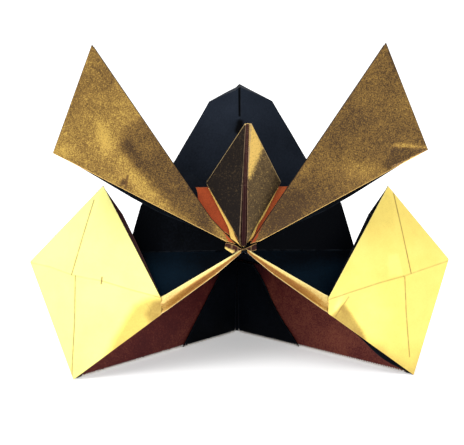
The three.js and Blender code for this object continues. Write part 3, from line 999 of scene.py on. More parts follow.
class Sheet:
    """A fine skin over the show side of one packed flap.

    Millimetres: WELD joins corners, JOIN joins cells, CLOSE joins points of one facet, FOOT_BAND and ON_RIM
    find the lower edge. FORWARD, LOOKING and SAME_WAY are parts of a unit normal. SHORT_EDGE, ROW_GAP and
    FIELD_GAP are shares of a cell: the shortest edge with rows, the gap between their points, and theirs to
    the even field. ROW_SLACK is the share of its own distance that a row keeps from other edges. The shifts
    set the wave and its ripple apart.
    """

    WELD = 0.002
    JOIN = 0.001
    CLOSE = 1e-5
    FLAT_DEGREES = 0.2
    FORWARD = -0.02
    LOOKING = 0.1
    SAME_WAY = 0.9
    SHORT_EDGE = 0.5
    ROW_SLACK = 0.97
    ROW_GAP = 0.4
    FIELD_GAP = 0.55
    FOOT_BAND = 0.25
    ON_RIM = 0.05
    WAVE_SHIFT = 3.1
    RIPPLE_SHIFT = 9.7

    def __init__(self, node: str, side: ShowSide, paper: Paper, lined: Lines) -> None:
        """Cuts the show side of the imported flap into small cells.

        Args:
            node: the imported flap's name.
            side: which skin to take.
            paper: how finely it is cut.
            lined: which of its folds show as lines.
        """
        self.paper = paper
        self.side = side
        polygons = self._show_polygons(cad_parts[node])
        self.folds, self.rims = self._sort_edges(polygons)
        self.points, self.cells = self._cut(polygons)
        self.normals = self._normals()
        drawn = [fold for fold in self.folds if lined.shows(*fold)]
        self.crease_distance = _distance(self.points, self.folds)
        self.fold_distance = _distance(self.points, np.array(drawn).reshape(-1, 2, 3))
        self.rim_distance = _distance(self.points, self.rims)
        self.tone = np.zeros(len(self.points))

    def _show_polygons(self, node: bpy.types.Object) -> list[np.ndarray]:
        """Finds the flat facets of the show side.

        Args:
            node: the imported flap.

        Returns:
            The corners of each facet, in millimetres.
        """
        work = bmesh.new()
        work.from_mesh(node.data)
        bmesh.ops.remove_doubles(work, verts=work.verts, dist=self.WELD * MM)
        flat = math.radians(self.FLAT_DEGREES)
        bmesh.ops.dissolve_limit(work, angle_limit=flat, verts=work.verts, edges=work.edges)
        work.normal_update()
        if self.side is ShowSide.FRONT:
            chosen = [f for f in work.faces if f.normal.y < self.FORWARD]
        elif self.side is ShowSide.SHELL:
            chosen = self._outer_faces(work)
        else:
            sign = -1 if self.side is ShowSide.PANEL_FRONT else 1
            looking = [f for f in work.faces if f.normal.y * sign > self.LOOKING]
            main = max(looking, key=lambda f: f.calc_area())
            chosen = [f for f in work.faces if f.normal.dot(main.normal) > self.SAME_WAY]
        polygons = [np.array([v.co[:] for v in f.verts], float) / MM for f in chosen]
        work.free()
        return polygons

    def _outer_faces(self, work: bmesh.types.BMesh) -> list[bmesh.types.BMFace]:
        """Finds the faces of a hollow shell that look away from it, without its rim.

        Args:
            work: the shell.

        Returns:
            Its outer faces.
        """
        tree = BVHTree.FromBMesh(work)
        chosen = []
        for face in work.faces:
            above = face.calc_center_median() + face.normal * (5 * self.WELD * MM)
            if tree.ray_cast(above, face.normal)[0] is None and face.normal.z > -self.SAME_WAY:
                chosen.append(face)
        return chosen

    @staticmethod
    def _sort_edges(polygons: list[np.ndarray]) -> tuple[np.ndarray, np.ndarray]:
        """Tells folds, which two facets share, from the outline.

        Args:
            polygons: corners of each facet.

        Returns:
            The ends of each fold, and the ends of each outline edge.
        """
        found: dict[frozenset, list[np.ndarray]] = {}
        for polygon in polygons:
            for a, b in zip(polygon, np.roll(polygon, -1, axis=0)):
                key = frozenset((tuple(np.round(a, 3)), tuple(np.round(b, 3))))
                found.setdefault(key, []).append(np.array([a, b]))
        folds = [edges[0] for edges in found.values() if len(edges) > 1]
        rims = [edges[0] for edges in found.values() if len(edges) == 1]
        return np.array(folds).reshape(-1, 2, 3), np.array(rims).reshape(-1, 2, 3)

    def _cut(self, polygons: list[np.ndarray]) -> tuple[np.ndarray, np.ndarray]:
        """Cuts every facet, then joins them where their edges meet.

        Args:
            polygons: corners of each facet.

        Returns:
            The points, and the triangles as numbers of points.
        """
        points, cells = [], []
        start = 0
        for polygon in polygons:
            cut, triangles = self._cut_facet(polygon)
            points.append(cut)
            cells.append(triangles + start)
            start += len(cut)
        every = np.concatenate(points)
        keys = np.round(every / self.JOIN).astype(np.int64)
        _, first, joined = np.unique(keys, axis=0, return_index=True, return_inverse=True)
        cells = joined.reshape(-1)[np.concatenate(cells)]
        whole = np.all(cells != np.roll(cells, -1, axis=1), axis=1)
        return every[first], cells[whole]

    def _cut_facet(self, corners: np.ndarray) -> tuple[np.ndarray, np.ndarray]:
        """Cuts one flat facet into cells, with close rows along its edges.

        Args:
            corners: the facet's corners, in order.

        Returns:
            The points, and the triangles as numbers of points.
        """
        cell = self.paper.cell
        normal = np.sum(np.cross(corners, np.roll(corners, -1, axis=0)), axis=0)
        normal /= np.linalg.norm(normal)
        u = corners[1] - corners[0]
        u /= np.linalg.norm(u)
        v = np.cross(normal, u)
        origin = corners[0]
        flat = np.stack([(corners - origin) @ u, (corners - origin) @ v], axis=1)
        outline3d: list[np.ndarray] = []
        for a, b in zip(corners, np.roll(corners, -1, axis=0)):
            count = max(1, int(round(np.linalg.norm(b - a) / cell)))
            low, high, back = (a, b, False) if tuple(a) < tuple(b) else (b, a, True)
            steps = [low + (high - low) * (i / count) for i in range(count + 1)]
            outline3d.extend((steps[::-1] if back else steps)[:-1])
        outline = np.array(outline3d)
        rim2d = np.stack([(outline - origin) @ u, (outline - origin) @ v], axis=1)
        inner = self._inner_points(flat)
        every2d = np.concatenate([rim2d, inner]) if len(inner) else rim2d
        every3d = np.concatenate([outline, origin + inner @ np.stack([u, v])]) if len(inner) else outline
        count = len(outline)
        ring = [(i, (i + 1) % count) for i in range(count)]
        spots = [Vector(p) for p in every2d]
        _, _, faces, origins, _, _ = geometry.delaunay_2d_cdt(spots, ring, [], 1, self.CLOSE)
        number = [o[0] if o else 0 for o in origins]
        triangles = []
        for face in faces:
            a, b, c = (number[i] for i in face)
            (ax, ay), (bx, by), (cx, cy) = every2d[a], every2d[b], every2d[c]
            area = (bx - ax) * (cy - ay) - (by - ay) * (cx - ax)
            triangles.append((a, b, c) if area > 0 else (a, c, b))
        return every3d, np.array(triangles, int).reshape(-1, 3)

    def _inner_points(self, flat: np.ndarray) -> np.ndarray:
        """Sets points inside a flat facet: rows beside its edges, then an even field.

        Args:
            flat: the facet's corners in its own plane.

        Returns:
            The points in that plane.
        """
        cell = self.paper.cell
        segments = np.stack([flat, np.roll(flat, -1, axis=0)], axis=1)
        kept: list[np.ndarray] = []
        gap = self.ROW_GAP * cell
        for row in self.paper.rows:
            for a, b in segments:
                length = np.linalg.norm(b - a)
                if length < self.SHORT_EDGE * cell:
                    continue
                inward = np.array([-(b - a)[1], (b - a)[0]]) / length
                count = max(1, int(round(length / cell)))
                line = np.array([a + (b - a) * ((i + 0.5) / count) + inward * row for i in range(count)])
                line = line[_inside(line, flat)]
                if len(line):
                    line = line[_distance(line, segments) > row * self.ROW_SLACK]
                for spot in line:
                    if not kept or np.min(np.sum((np.array(kept) - spot) ** 2, axis=1)) > gap**2:
                        kept.append(spot)
        low, high = flat.min(axis=0), flat.max(axis=0)
        rise = cell * math.sqrt(3) / 2
        field_points = [
            (low[0] + (i + 0.5 * (j % 2)) * cell, low[1] + j * rise)
            for j in range(int((high[1] - low[1]) / rise) + 1)
            for i in range(int((high[0] - low[0]) / cell) + 2)
        ]
        spots = np.array(field_points).reshape(-1, 2)
        spots = spots[_inside(spots, flat)]
        if len(spots):
            spots = spots[_distance(spots, segments) > self.paper.rows[-1] + self.FIELD_GAP * cell]
        rows = np.array(kept).reshape(-1, 2)
        return np.concatenate([rows, spots])

    def _normals(self) -> np.ndarray:
        """Averages the cells' normals at the points.

        Returns:
            The unit normal at each point.
        """
        a, b, c = (self.points[self.cells[:, i]] for i in range(3))
        faces = np.cross(b - a, c - a)
        total = np.zeros_like(self.points)
        for i in range(3):
            np.add.at(total, self.cells[:, i], faces)
        return total / np.maximum(np.linalg.norm(total, axis=1, keepdims=True), TINY)

    def bend(
        self, marks: Sequence[Mark] = (), seed: float = 0.0, tone: float = 0.0, pulls: Sequence[Pull] = ()
    ) -> None:
        """Puffs the facets, waves the sheet and presses the marks into it.

        Args:
            marks: marks that this sheet carries.
            seed: moves the wave pattern; layers that lie on each other share it.
            tone: how much lighter the whole sheet is.
            pulls: places where it is drawn aside.
        """
        paper = self.paper
        self.tone += tone
        edge = np.minimum(self.crease_distance, self.rim_distance)
        puff = paper.puff * (1 - np.exp(-((edge / paper.puff_width) ** 2)))
        wave_shift = Vector((seed, self.WAVE_SHIFT, -seed))
        ripple_shift = Vector((seed, self.RIPPLE_SHIFT, seed))
        closer = paper.ripple_rate / paper.wave_width
        wave = np.array(
            [
                noise.noise(Vector(p) / paper.wave_width + wave_shift)
                + paper.ripple * noise.noise(Vector(p) * closer + ripple_shift)
                for p in self.points
            ]
        )
        push = np.zeros(len(self.points))
        for mark in marks:
            weight = mark.weight(self.points)
            self.tone += mark.tone * weight
            push += mark.press * weight
        calm = 1 - np.exp(-((self.rim_distance / paper.calm) ** 2))
        if self.side in (ShowSide.FRONT, ShowSide.PANEL_FRONT):
            self.points[:, 1] += push + wave * paper.wave * (paper.rim_wave + (1 - paper.rim_wave) * calm)
            self.points += self.normals * puff[:, None]
        else:
            self.points += self.normals * (puff + wave * paper.wave * calm - push)[:, None]
        for pull in pulls:
            self.points += pull.shift(self.points)

    def foot_line(self) -> np.ndarray:
        """Finds the lower edge.

        Returns:
            Points along it, from left to right.
        """
        low = self.points[:, 2].min()
        foot = self.points[(self.points[:, 2] < low + self.FOOT_BAND) & (self.rim_distance < self.ON_RIM)]
        return foot[np.argsort(foot[:, 0])]

    def back_offset(self) -> np.ndarray:
        """Measures the way from the show side to the back.

        Returns:
            That way at each point.
        """
        if self.side is ShowSide.FRONT:
            return np.tile([0.0, self.paper.wall, 0.0], (len(self.points), 1))
        return -self.normals * self.paper.wall


def _distance(points: np.ndarray, segments: np.ndarray) -> np.ndarray:
    """Measures how far points are from segments.

    Args:
        points: the points.
        segments: both ends of each segment.

    Returns:
        The distance from each point to the nearest segment.
    """
    nearest = np.full(len(points), FAR)
    for a, b in segments:
        along = np.clip(((points - a) @ (b - a)) / max(float((b - a) @ (b - a)), TINY), 0, 1)
        nearest = np.minimum(nearest, np.linalg.norm(points - (a + along[:, None] * (b - a)), axis=1))
    return nearest


def _inside(points: np.ndarray, corners: np.ndarray) -> np.ndarray:
    """Tells which flat points lie inside an outline.

    Args:
        points: the points.
        corners: the outline's corners, in order.

    Returns:
        True for each point inside.
    """
    x, y = points[:, 0], points[:, 1]
    inside = np.zeros(len(points), bool)
    for (ax, ay), (bx, by) in zip(corners, np.roll(corners, -1, axis=0)):
        crosses = (ay > y) != (by > y)
        with np.errstate(divide="ignore", invalid="ignore"):
            at = ax + (y - ay) * (bx - ax) / (by - ay)
        inside ^= crosses & (x < at)
    return inside


@dataclass(frozen=True)
class Flap:
    """How one packed flap is dressed.

    node: its name. ending: what follows the name in its piece's name. finish: of its show side and rim.
    slot: the record's material slot. marks, seed, tone, pulls: how its sheet is bent.
    inlays: areas of the show side with another finish.
    """

    node: str
    ending: str
    finish: Finish
    slot: str
    side: ShowSide = ShowSide.FRONT
    lined: Lines = Lines.NONE
    marks: tuple[Mark, ...] = ()
    seed: float = 0.0
    tone: float = 0.0
    pulls: tuple[Pull, ...] = ()
    inlays: tuple[tuple[Mark, Finish], ...] = ()


class Press:
    """Turns sheets into closed paper pieces with round rims.

    STEPS: rows of faces round a rim. BACK_RIM, BACK_FOLD: how much of the lines the back keeps.
    SHARP_DEGREES: from where an edge isn't smoothed. WIDEST_MITRE: keeps the rim's corners from standing out.
    """

    STEPS = 4
    BACK_RIM = 0.5
    BACK_FOLD = 0.3
    SHARP_DEGREES = 28
    WIDEST_MITRE = 0.6

    def __init__(self, palette: Palette) -> None:
        """Keeps the finishes.

        Args:
            palette: the materials.
        """
        self.palette = palette

    def lay(self, flap: Flap, paper: Paper, shape: Optional[Callable[[Sheet], None]] = None) -> Sheet:
        """Cuts, bends and closes the sheet over one packed flap.

        Args:
            flap: how it is dressed.
            paper: how it is cut and bent.
            shape: a last change to the bent sheet.

        Returns:
            The bent sheet.
        """
        sheet = Sheet(flap.node, flap.side, paper, flap.lined)
        sheet.bend(flap.marks, flap.seed, flap.tone, flap.pulls)
        if shape:
            shape(sheet)
        self._close(flap, sheet)
        return sheet

    def _close(self, flap: Flap, sheet: Sheet) -> None:
        """Makes the closed piece: show side, black back and round rim.

        Args:
            flap: how it is dressed.
            sheet: its bent show side.
        """
        ring, outward = self._outline(sheet)
        members = sorted(outward)
        points, numbers = self._layers(sheet, outward, members)
        faces, sides = self._faces(flap, sheet, ring, members)
        solid = points * MM
        solid[:, 2] = np.maximum(solid[:, 2], 0)
        name = f"{flap.node}_{flap.ending}"
        mesh = bpy.data.meshes.new(name)
        mesh.from_pydata([tuple(p) for p in solid], [], faces)
        for finish in (flap.finish, Finish.BLACK, *(inlay for _, inlay in flap.inlays)):
            mesh.materials.append(self.palette[finish])
        mesh.polygons.foreach_set("material_index", sides)
        for key, values in numbers.items():
            self._store(mesh, key, values)
        mesh.shade_smooth()
        mesh.set_sharp_from_angle(angle=math.radians(self.SHARP_DEGREES))
        mesh.validate()
        self.place(name, mesh, flap.slot, [flap.node])

    def _layers(
        self, sheet: Sheet, outward: dict[int, np.ndarray], members: list[int]
    ) -> tuple[np.ndarray, dict[str, np.ndarray]]:
        """Sets the points of the show side, of the back and of the rows round the rim between them.

        Args:
            sheet: the bent show side.
            outward: the way out at each point of the rim.
            members: the rim's points, in order.

        Returns:
            The points in millimetres, and the numbers that the finishes read at each of them.
        """
        paper, away, tone = sheet.paper, sheet.back_offset(), sheet.tone
        ways = np.array([outward[i] for i in members])
        front = sheet.points.copy()
        front[members] += ways * (paper.reach - paper.round)
        lean = np.zeros(len(front))
        lean[members] = -ways[:, 2]
        rim = np.clip(1 - sheet.rim_distance / paper.line, 0, 1)
        fold = np.clip(1 - sheet.fold_distance / paper.line, 0, 1)
        layers = [(front, rim, lean, fold, tone)]
        layers.append((front + away, rim * self.BACK_RIM, lean, fold * self.BACK_FOLD, tone))
        ones = np.ones(len(members))
        for step in range(1, self.STEPS):
            turn = math.pi * step / self.STEPS
            depth = 0.5 - 0.5 * math.cos(turn)
            row = front[members] + ways * (paper.round * math.sin(turn)) + away[members] * depth
            layers.append((row, ones, lean[members], 0 * ones, tone[members]))
        points, *numbers = (np.concatenate(column) for column in zip(*layers))
        return points, dict(zip(("rim", "rim_lean", "fold", "tone"), numbers))

    def _faces(
        self, flap: Flap, sheet: Sheet, ring: list[tuple[int, int]], members: list[int]
    ) -> tuple[list[tuple[int, ...]], list[int]]:
        """Joins the points to faces.

        Args:
            flap: how it is dressed.
            sheet: the bent show side.
            ring: the rim's edges.
            members: the rim's points, in order.

        Returns:
            The faces as numbers of points, and the number of each face's finish.
        """
        count, row = len(sheet.points), len(members)
        faces = [tuple(c) for c in sheet.cells]
        middles = sheet.points[sheet.cells].mean(axis=1)
        shown = np.zeros(len(faces), int)
        for number, (mark, _) in enumerate(flap.inlays, start=2):
            shown[mark.weight(middles) > 0.5] = number
        faces += [(a + count, c + count, b + count) for a, b, c in sheet.cells]
        sides = shown.tolist() + [1] * len(sheet.cells)
        rows = [dict(zip(members, members))]
        for start in range(2 * count, 2 * count + (self.STEPS - 1) * row, row):
            rows.append(dict(zip(members, range(start, start + row))))
        rows.append({i: i + count for i in members})
        for a, b in ring:
            for step, (near, far) in enumerate(zip(rows, rows[1:]), start=1):
                faces.append((near[b], near[a], far[a], far[b]))
                sides.append(1 if step == self.STEPS else 0)
        return faces, sides

    @staticmethod
    def _store(mesh: bpy.types.Mesh, name: str, values: np.ndarray) -> None:
        """Keeps a number at each point for the finishes."""
        attribute = mesh.attributes.new(name, "FLOAT", "POINT")
        attribute.data.foreach_set("value", values.astype(np.float32))

    def _outline(self, sheet: Sheet) -> tuple[list[tuple[int, int]], dict[int, np.ndarray]]:
        """Finds the rim.

        Args:
            sheet: the bent show side.

        Returns:
            Its edges in the direction that their cells run, and the way outward at each of its points.
        """
        directed = {}
        for number, (a, b, c) in enumerate(sheet.cells):
            for start, end in ((a, b), (b, c), (c, a)):
                directed[(int(start), int(end))] = number
        ring = [edge for edge in directed if (edge[1], edge[0]) not in directed]
        gathered: dict[int, list[np.ndarray]] = {}
        for a, b in ring:
            corner = sheet.points[sheet.cells[directed[(a, b)]]]
            normal = np.cross(corner[1] - corner[0], corner[2] - corner[0])
            out = np.cross(sheet.points[b] - sheet.points[a], normal)
            out /= max(np.linalg.norm(out), TINY)
            gathered.setdefault(a, []).append(out)
            gathered.setdefault(b, []).append(out)
        outward = {}
        for point, ways in gathered.items():
            mean = np.mean(ways, axis=0)
            length = max(np.linalg.norm(mean), TINY)
            outward[point] = mean / length / max(length, self.WIDEST_MITRE)
        return ring, outward

    @staticmethod
    def place(name: str, mesh: bpy.types.Mesh, slot: Optional[str], replaces: Sequence[str]) -> None:
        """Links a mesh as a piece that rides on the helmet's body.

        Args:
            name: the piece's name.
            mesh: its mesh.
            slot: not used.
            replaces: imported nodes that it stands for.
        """
        piece = bpy.data.objects.new(name, mesh)
        bpy.context.scene.collection.objects.link(piece)
        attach(piece, BODY)
        if replaces:
            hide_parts(*replaces)
        log.info("%s: %d faces", name, len(mesh.polygons))


@dataclass(frozen=True)
class Fibres:
    """Short loose fibres, in millimetres.

    least: the shortest one's share of the length. turn_low, turn_high: range of their turns round x, y, z.
    """

    spacing: float = 0.7
    length: float = 1.2
    radius: float = 0.05
    least: float = 0.25
    sides: int = 4
    seed: int = 7
    turn_low: Point = (1.2, -0.3, -1.5)
    turn_high: Point = (1.8, 0.3, 1.5)

    def tree(self, finish: bpy.types.Material) -> bpy.types.NodeTree:
        """Builds geometry nodes that set the fibres along a path.

        Args:
            finish: the fibres' material.

        Returns:
            The node tree.
        """
        tree = bpy.data.node_groups.new("cut_edge_fibres", "GeometryNodeTree")
        for way in ("INPUT", "OUTPUT"):
            tree.interface.new_socket("Geometry", in_out=way, socket_type="NodeSocketGeometry")
        bench = Bench(tree)

        def add(kind: str, settings: dict[str, Any], sockets: dict[Any, Any], output: int = 0) -> Wire:
            """Adds a node and wraps one of its outputs."""
            return bench.wire(bench.node(kind, settings, sockets), output)

        path = add("GeometryNodeMeshToCurve", {}, {"Mesh": add("NodeGroupInput", {}, {})})
        spacing = {"Curve": path, "Length": self.spacing * MM}
        spots = add("GeometryNodeResampleCurve", {"mode": "LENGTH"}, spacing)
        line = add("GeometryNodeCurvePrimitiveLine", {}, {"End": (0, 0, self.length * MM)})
        profile = {"Resolution": self.sides, "Radius": self.radius * MM}
        ring = add("GeometryNodeCurvePrimitiveCircle", {}, profile)
        fibre = add("GeometryNodeCurveToMesh", {}, {"Curve": line, "Profile Curve": ring, "Fill Caps": True})
        turns = {0: self.turn_low, 1: self.turn_high, "Seed": self.seed}
        turn = add("FunctionNodeRandomValue", {"data_type": "FLOAT_VECTOR"}, turns)
        sizes = {2: self.least, 3: 1.0, "Seed": self.seed}
        size = add("FunctionNodeRandomValue", {"data_type": "FLOAT"}, sizes, 1)
        placed = {"Points": spots, "Instance": fibre, "Rotation": turn, "Scale": size}
        real = add("GeometryNodeRealizeInstances", {}, {0: add("GeometryNodeInstanceOnPoints", {}, placed)})
        coated = add("GeometryNodeSetMaterial", {}, {"Geometry": real, "Material": finish})
        bench.node("NodeGroupOutput", {}, {0: coated})
        return tree

    def grow(self, path: bpy.types.Mesh, finish: bpy.types.Material) -> bpy.types.Mesh:
        """Runs the nodes on a path and keeps the result as a plain mesh.

        Args:
            path: mesh of edges.
            finish: the fibres' material.

        Returns:
            The mesh.
        """
        helper = bpy.data.objects.new("fibre_helper", path)
        bpy.context.scene.collection.objects.link(helper)
        helper.modifiers.new("fibres", "NODES").node_group = self.tree(finish)
        graph = bpy.context.evaluated_depsgraph_get()
        mesh = bpy.data.meshes.new_from_object(helper.evaluated_get(graph))
        helper.modifiers.clear()
        bpy.data.objects.remove(helper)
        return mesh


# Sub-assemblies


@dataclass
class Crown:
    """Black dome over a horizontal crease, and the brow and neck guard below it.

    slit_x, slit_foot: where the open seam stands and begins. slit_shift: how far it leans aside.
    parting: height over which it opens. slit_width: how far beside it the leaves are moved.
    """

    press: Press
    slit_x: float = 0.33
    slit_foot: float = 99.4
    slit_shift: float = -0.6
    slit_width: float = 6.0
    parting: float = 3.0
    leaf_edge: float = 0.1
    leaf_rise: float = 0.25
    leaf_drop: float = 0.45
    leaf_forward: float = 0.5
    front_depth: float = 6.0

    def build(self) -> None:
        """Makes the dome, the brow's two panels and the neck guard's two panels."""
        # Painted light: darker towards the brow as painted shade under the horns, lighter towards the top,
        # which faces the lamps, and painted shade at the slit's foot, pressed in a little.
        marks = (
            Fade((0, 82), (0, 62), tone=-0.5),
            Fade((0, 84), (0, 110), tone=0.15),
            Dimple(-0.5, 96.2, 3.0, 2.2, 20, tone=-0.2, press=0.3),
        )
        dome = Flap("crown", "paper", Finish.CROWN, "black_paper", ShowSide.SHELL, marks=marks, seed=1.7)
        self.press.lay(dome, BODY_PAPER, self._part_leaves)
        # Painted light: the brows lighter low down where they flare out to the lamps, and darker above as
        # painted shade.
        lit = Fade((0, 45), (0, 40), tone=0.3)
        for side, seed in (("left", 2.9), ("right", 5.3)):
            for node, finish, look, marks, tone in (
                ("brow", Finish.BLUE_SHEEN_BLACK, ShowSide.PANEL_FRONT, (lit,), -0.35),
                ("neck_guard", Finish.BLACK, ShowSide.PANEL_BACK, (), 0.0),
            ):
                panel = Flap(
                    f"{node}_{side}", "paper", finish, "black_paper", look, marks=marks, seed=seed, tone=tone
                )
                self.press.lay(panel, BODY_PAPER)

    def _part_leaves(self, dome: Sheet) -> None:
        """At the open seam the right leaf stands a little in front of the left one and higher.

        Args:
            dome: the crown's sheet, already bent.
        """
        points = dome.points
        crown_top = points[:, 2].max()
        rise = np.clip((points[:, 2] - self.slit_foot) / (crown_top - self.slit_foot), 0, 1)
        parted = np.clip((points[:, 2] - self.slit_foot + self.parting) / self.parting, 0, 1)
        near = np.exp(-(((points[:, 0] - self.slit_x) / self.slit_width) ** 2))
        front = np.clip((self.front_depth - points[:, 1]) / self.front_depth, 0, 1)
        right = points[:, 0] > self.slit_x + self.leaf_edge
        points[:, 0] += self.slit_shift * parted * near * front
        points[right, 1] -= (self.leaf_forward * rise * near * front)[right]
        points[right, 2] += (self.leaf_rise * rise * near)[right]
        points[~right, 2] -= (self.leaf_drop * rise * near)[~right]


@dataclass
class NeckInside:
    """Gold side of the sheet inside the neck guard, and the black flap folded up over it at the rear.

    middle: x of the helmet's middle fold. raw_edge: band of the cut edge. The black mark where the flap
    covers the facing is painted shade.
    edge_shift: from a sheet's lower edge to where its fibres stand.
    """

    press: Press
    middle: float = 0.58
    raw_edge: Mark = Facet(((-90, -1), (90, -1), (90, 0.95), (-90, 0.95)), soft=0.05)
    # Painted shade: the facing drawn black where it lies behind the flap and shows through the gap.
    shade_behind_flap: Mark = Facet(((-6, -2), (7, -2), (7, 50), (-6, 50)), soft=0.05)
    fibres: Fibres = Fibres()
    edge_shift: Point = (0, -0.1, 0.15)

    def build(self) -> None:
        """Makes the two facings, the inner flap's two halves and the fibres on their cut edges."""
        # Painted shade on the facings near the nape, painted light on the right facing towards its outer end;
        # the inner flap's lower tone is painted shade inside the helmet.
        shade = Facet(((-12, 40), (13, 40), (11, 26), (-10, 26)), 5.0, tone=-0.5)
        glow = Fade((12, 30), (24, 22), tone=0.12)
        slides = (Pull(10, 31, 6, 14, (1.9, -1.75, 0)), Pull(24, 0, 7, 12, (1.2, -1.1, 0)))
        edges = []
        for side, sign, glows, slid in (("left", -1, (), ()), ("right", 1, (glow,), slides)):
            rear = Pull(self.middle + sign * 0.3, 15, 1.2, 60, (-sign * 0.32, 0.3, 0))
            for part, finish, slot, marks, tone, moved in (
                ("neck_facing", Finish.SHADED, "gold_foil_shaded", (shade, *glows), 0.0, ()),
                ("inner_flap", Finish.BLACK, "black_paper", (), -0.4, slid),
            ):
                panel = Flap(
                    f"{part}_{side}",
                    "paper",
                    finish,
                    slot,
                    ShowSide.PANEL_FRONT,
                    Lines.ALL,
                    marks,
                    seed=4.4,
                    tone=tone,
                    pulls=(rear, *moved),
                    inlays=((self.shade_behind_flap, Finish.BLACK), (self.raw_edge, Finish.RAW)),
                )
                edges.append(self.press.lay(panel, NECK_PAPER).foot_line())
        self._fibres(edges)

    def _fibres(self, edges: Sequence[np.ndarray]) -> None:
        """Makes the loose white fibres along the cut edges.

        Args:
            edges: points along each cut edge.
        """
        verts, lines = [], []
        for edge in edges:
            lines.extend((len(verts) + i, len(verts) + i + 1) for i in range(len(edge) - 1))
            verts.extend(tuple(p) for p in (edge + np.array(self.edge_shift)) * MM)
        path = bpy.data.meshes.new("cut_edge_path")
        path.from_pydata(verts, lines, [])
        mesh = self.fibres.grow(path, self.press.palette[Finish.RAW])
        self.press.place("cut_edge_fibres", mesh, None, [])


@dataclass
class Horns:
    """Gold flaps on black back layers, from the knot to blunt tips."""

    press: Press

    def reflected_red_root(self, side: str) -> Mark:
        """Where the painted red reflection of the crest's backing runs on over the horn's root.

        Args:
            side: left or right.

        Returns:
            The area.
        """
        if side == "left":
            outer = ((-8.5, 60.2), (-6.3, 56.2), (-4.8, 53.9), (-3.8, 52.0))
            inner = ((-2.2, 53.2), (-4, 60), (-7, 63))
        else:
            outer = ((7.6, 61.0), (5.3, 56.2), (4.2, 54.0), (3.4, 52.2))
            inner = ((2.0, 52.8), (3.5, 60), (6.5, 64))
        return Facet(outer + inner, 0.05)

    def marks(self, side: str) -> tuple[Mark, ...]:
        """Dents of one horn, with painted highlights and painted shade.

        Args:
            side: left or right.

        Returns:
            The marks.
        """
        if side == "left":
            lower = ((-46.6, 92.8), (-38.5, 83), (-29, 71), (-12, 58))
            upper = ((-12, 74), (-26, 92), (-38, 104), (-45, 100))
            notch = ((-44.1, 81.6), (-44.9, 78.3), (-47.6, 77.9), (-46.6, 79.6))
            return (
                Dimple(-68.5, 91.5, 6, 4, tone=0.22),
                Dimple(-52.8, 96.5, 4, 7, 15, tone=0.22, press=-0.4),
                Facet(((-55.5, 103), (-51, 101), (-49.5, 92), (-53.5, 89)), 3.0, tone=0.14),
                Dimple(-58, 105, 8, 6, tone=-0.03),
                Facet(lower + upper, 5.0, tone=-0.4, press=0.3),
                Facet(((-46.4, 90.8), (-33.2, 74.6), (-37, 73.5), (-49, 85)), 2.4, tone=0.16, press=-0.3),
                Facet(((-47.5, 93), (-43, 95), (-37, 86), (-40.5, 84)), 2.5, tone=-0.14),
                Dimple(-12, 59, 8, 5, -45, tone=-0.24),
                Dimple(-52, 121, 3, 9, 25, tone=-0.15),
                Dimple(-63, 112, 2.5, 12, -20, tone=-0.1),
                Facet(notch, 0.7, tone=-0.45, press=0.5),
                Dimple(-49, 80, 3.5, 2, -20, tone=0.2),
            )
        return (
            Facet(((70.8, 91.4), (56.6, 91.9), (55.5, 83.3)), 0.8, tone=-0.16, press=0.6),
            Facet(((70.0, 92.6), (69.9, 91.6), (57.5, 92.2), (58.0, 93.6)), 0.8, tone=0.38),
            Dimple(43.5, 84.0, 7, 3.6, -20, tone=0.2, press=-0.4),
            Dimple(54.5, 85.2, 1.6, 1.6, tone=-0.25),
            Facet(((53.5, 87.5), (56, 82.5), (45, 80), (43, 86)), 3.0, tone=0.05),
            Dimple(58.2, 124.6, 5, 1.5, -66, tone=-0.5, press=0.3),
            Dimple(16, 67, 14, 8, 47, tone=-0.32),
            Dimple(34, 93, 8, 6, 50, tone=-0.08),
            Dimple(53, 115, 6, 10, tone=-0.1),
        )

    def build(self) -> None:
        """Makes both horns with their back layers."""
        # Painted light: the left horn a little lighter and the right one darker, by which side the lamps are
        # on.
        for side, seed, tone in (("left", 6.1, 0.07), ("right", 8.3, -0.22)):
            horn = Flap(
                f"horn_{side}",
                "foil",
                Finish.SHADED_GRAINY,
                "gold_foil_antique",
                marks=self.marks(side),
                seed=seed,
                tone=tone,
                # Painted reflection: the crest backing's red-orange, gold reflected in gold, run on over the
                # horn's root.
                inlays=((self.reflected_red_root(side), Finish.REFLECTED_RED),),
            )
            self.press.lay(horn, HORN_PAPER)
            layer = Flap(f"horn_back_{side}", "paper", Finish.BLACK, "black_paper", seed=seed, tone=-0.3)
            self.press.lay(layer, HORN_PAPER)


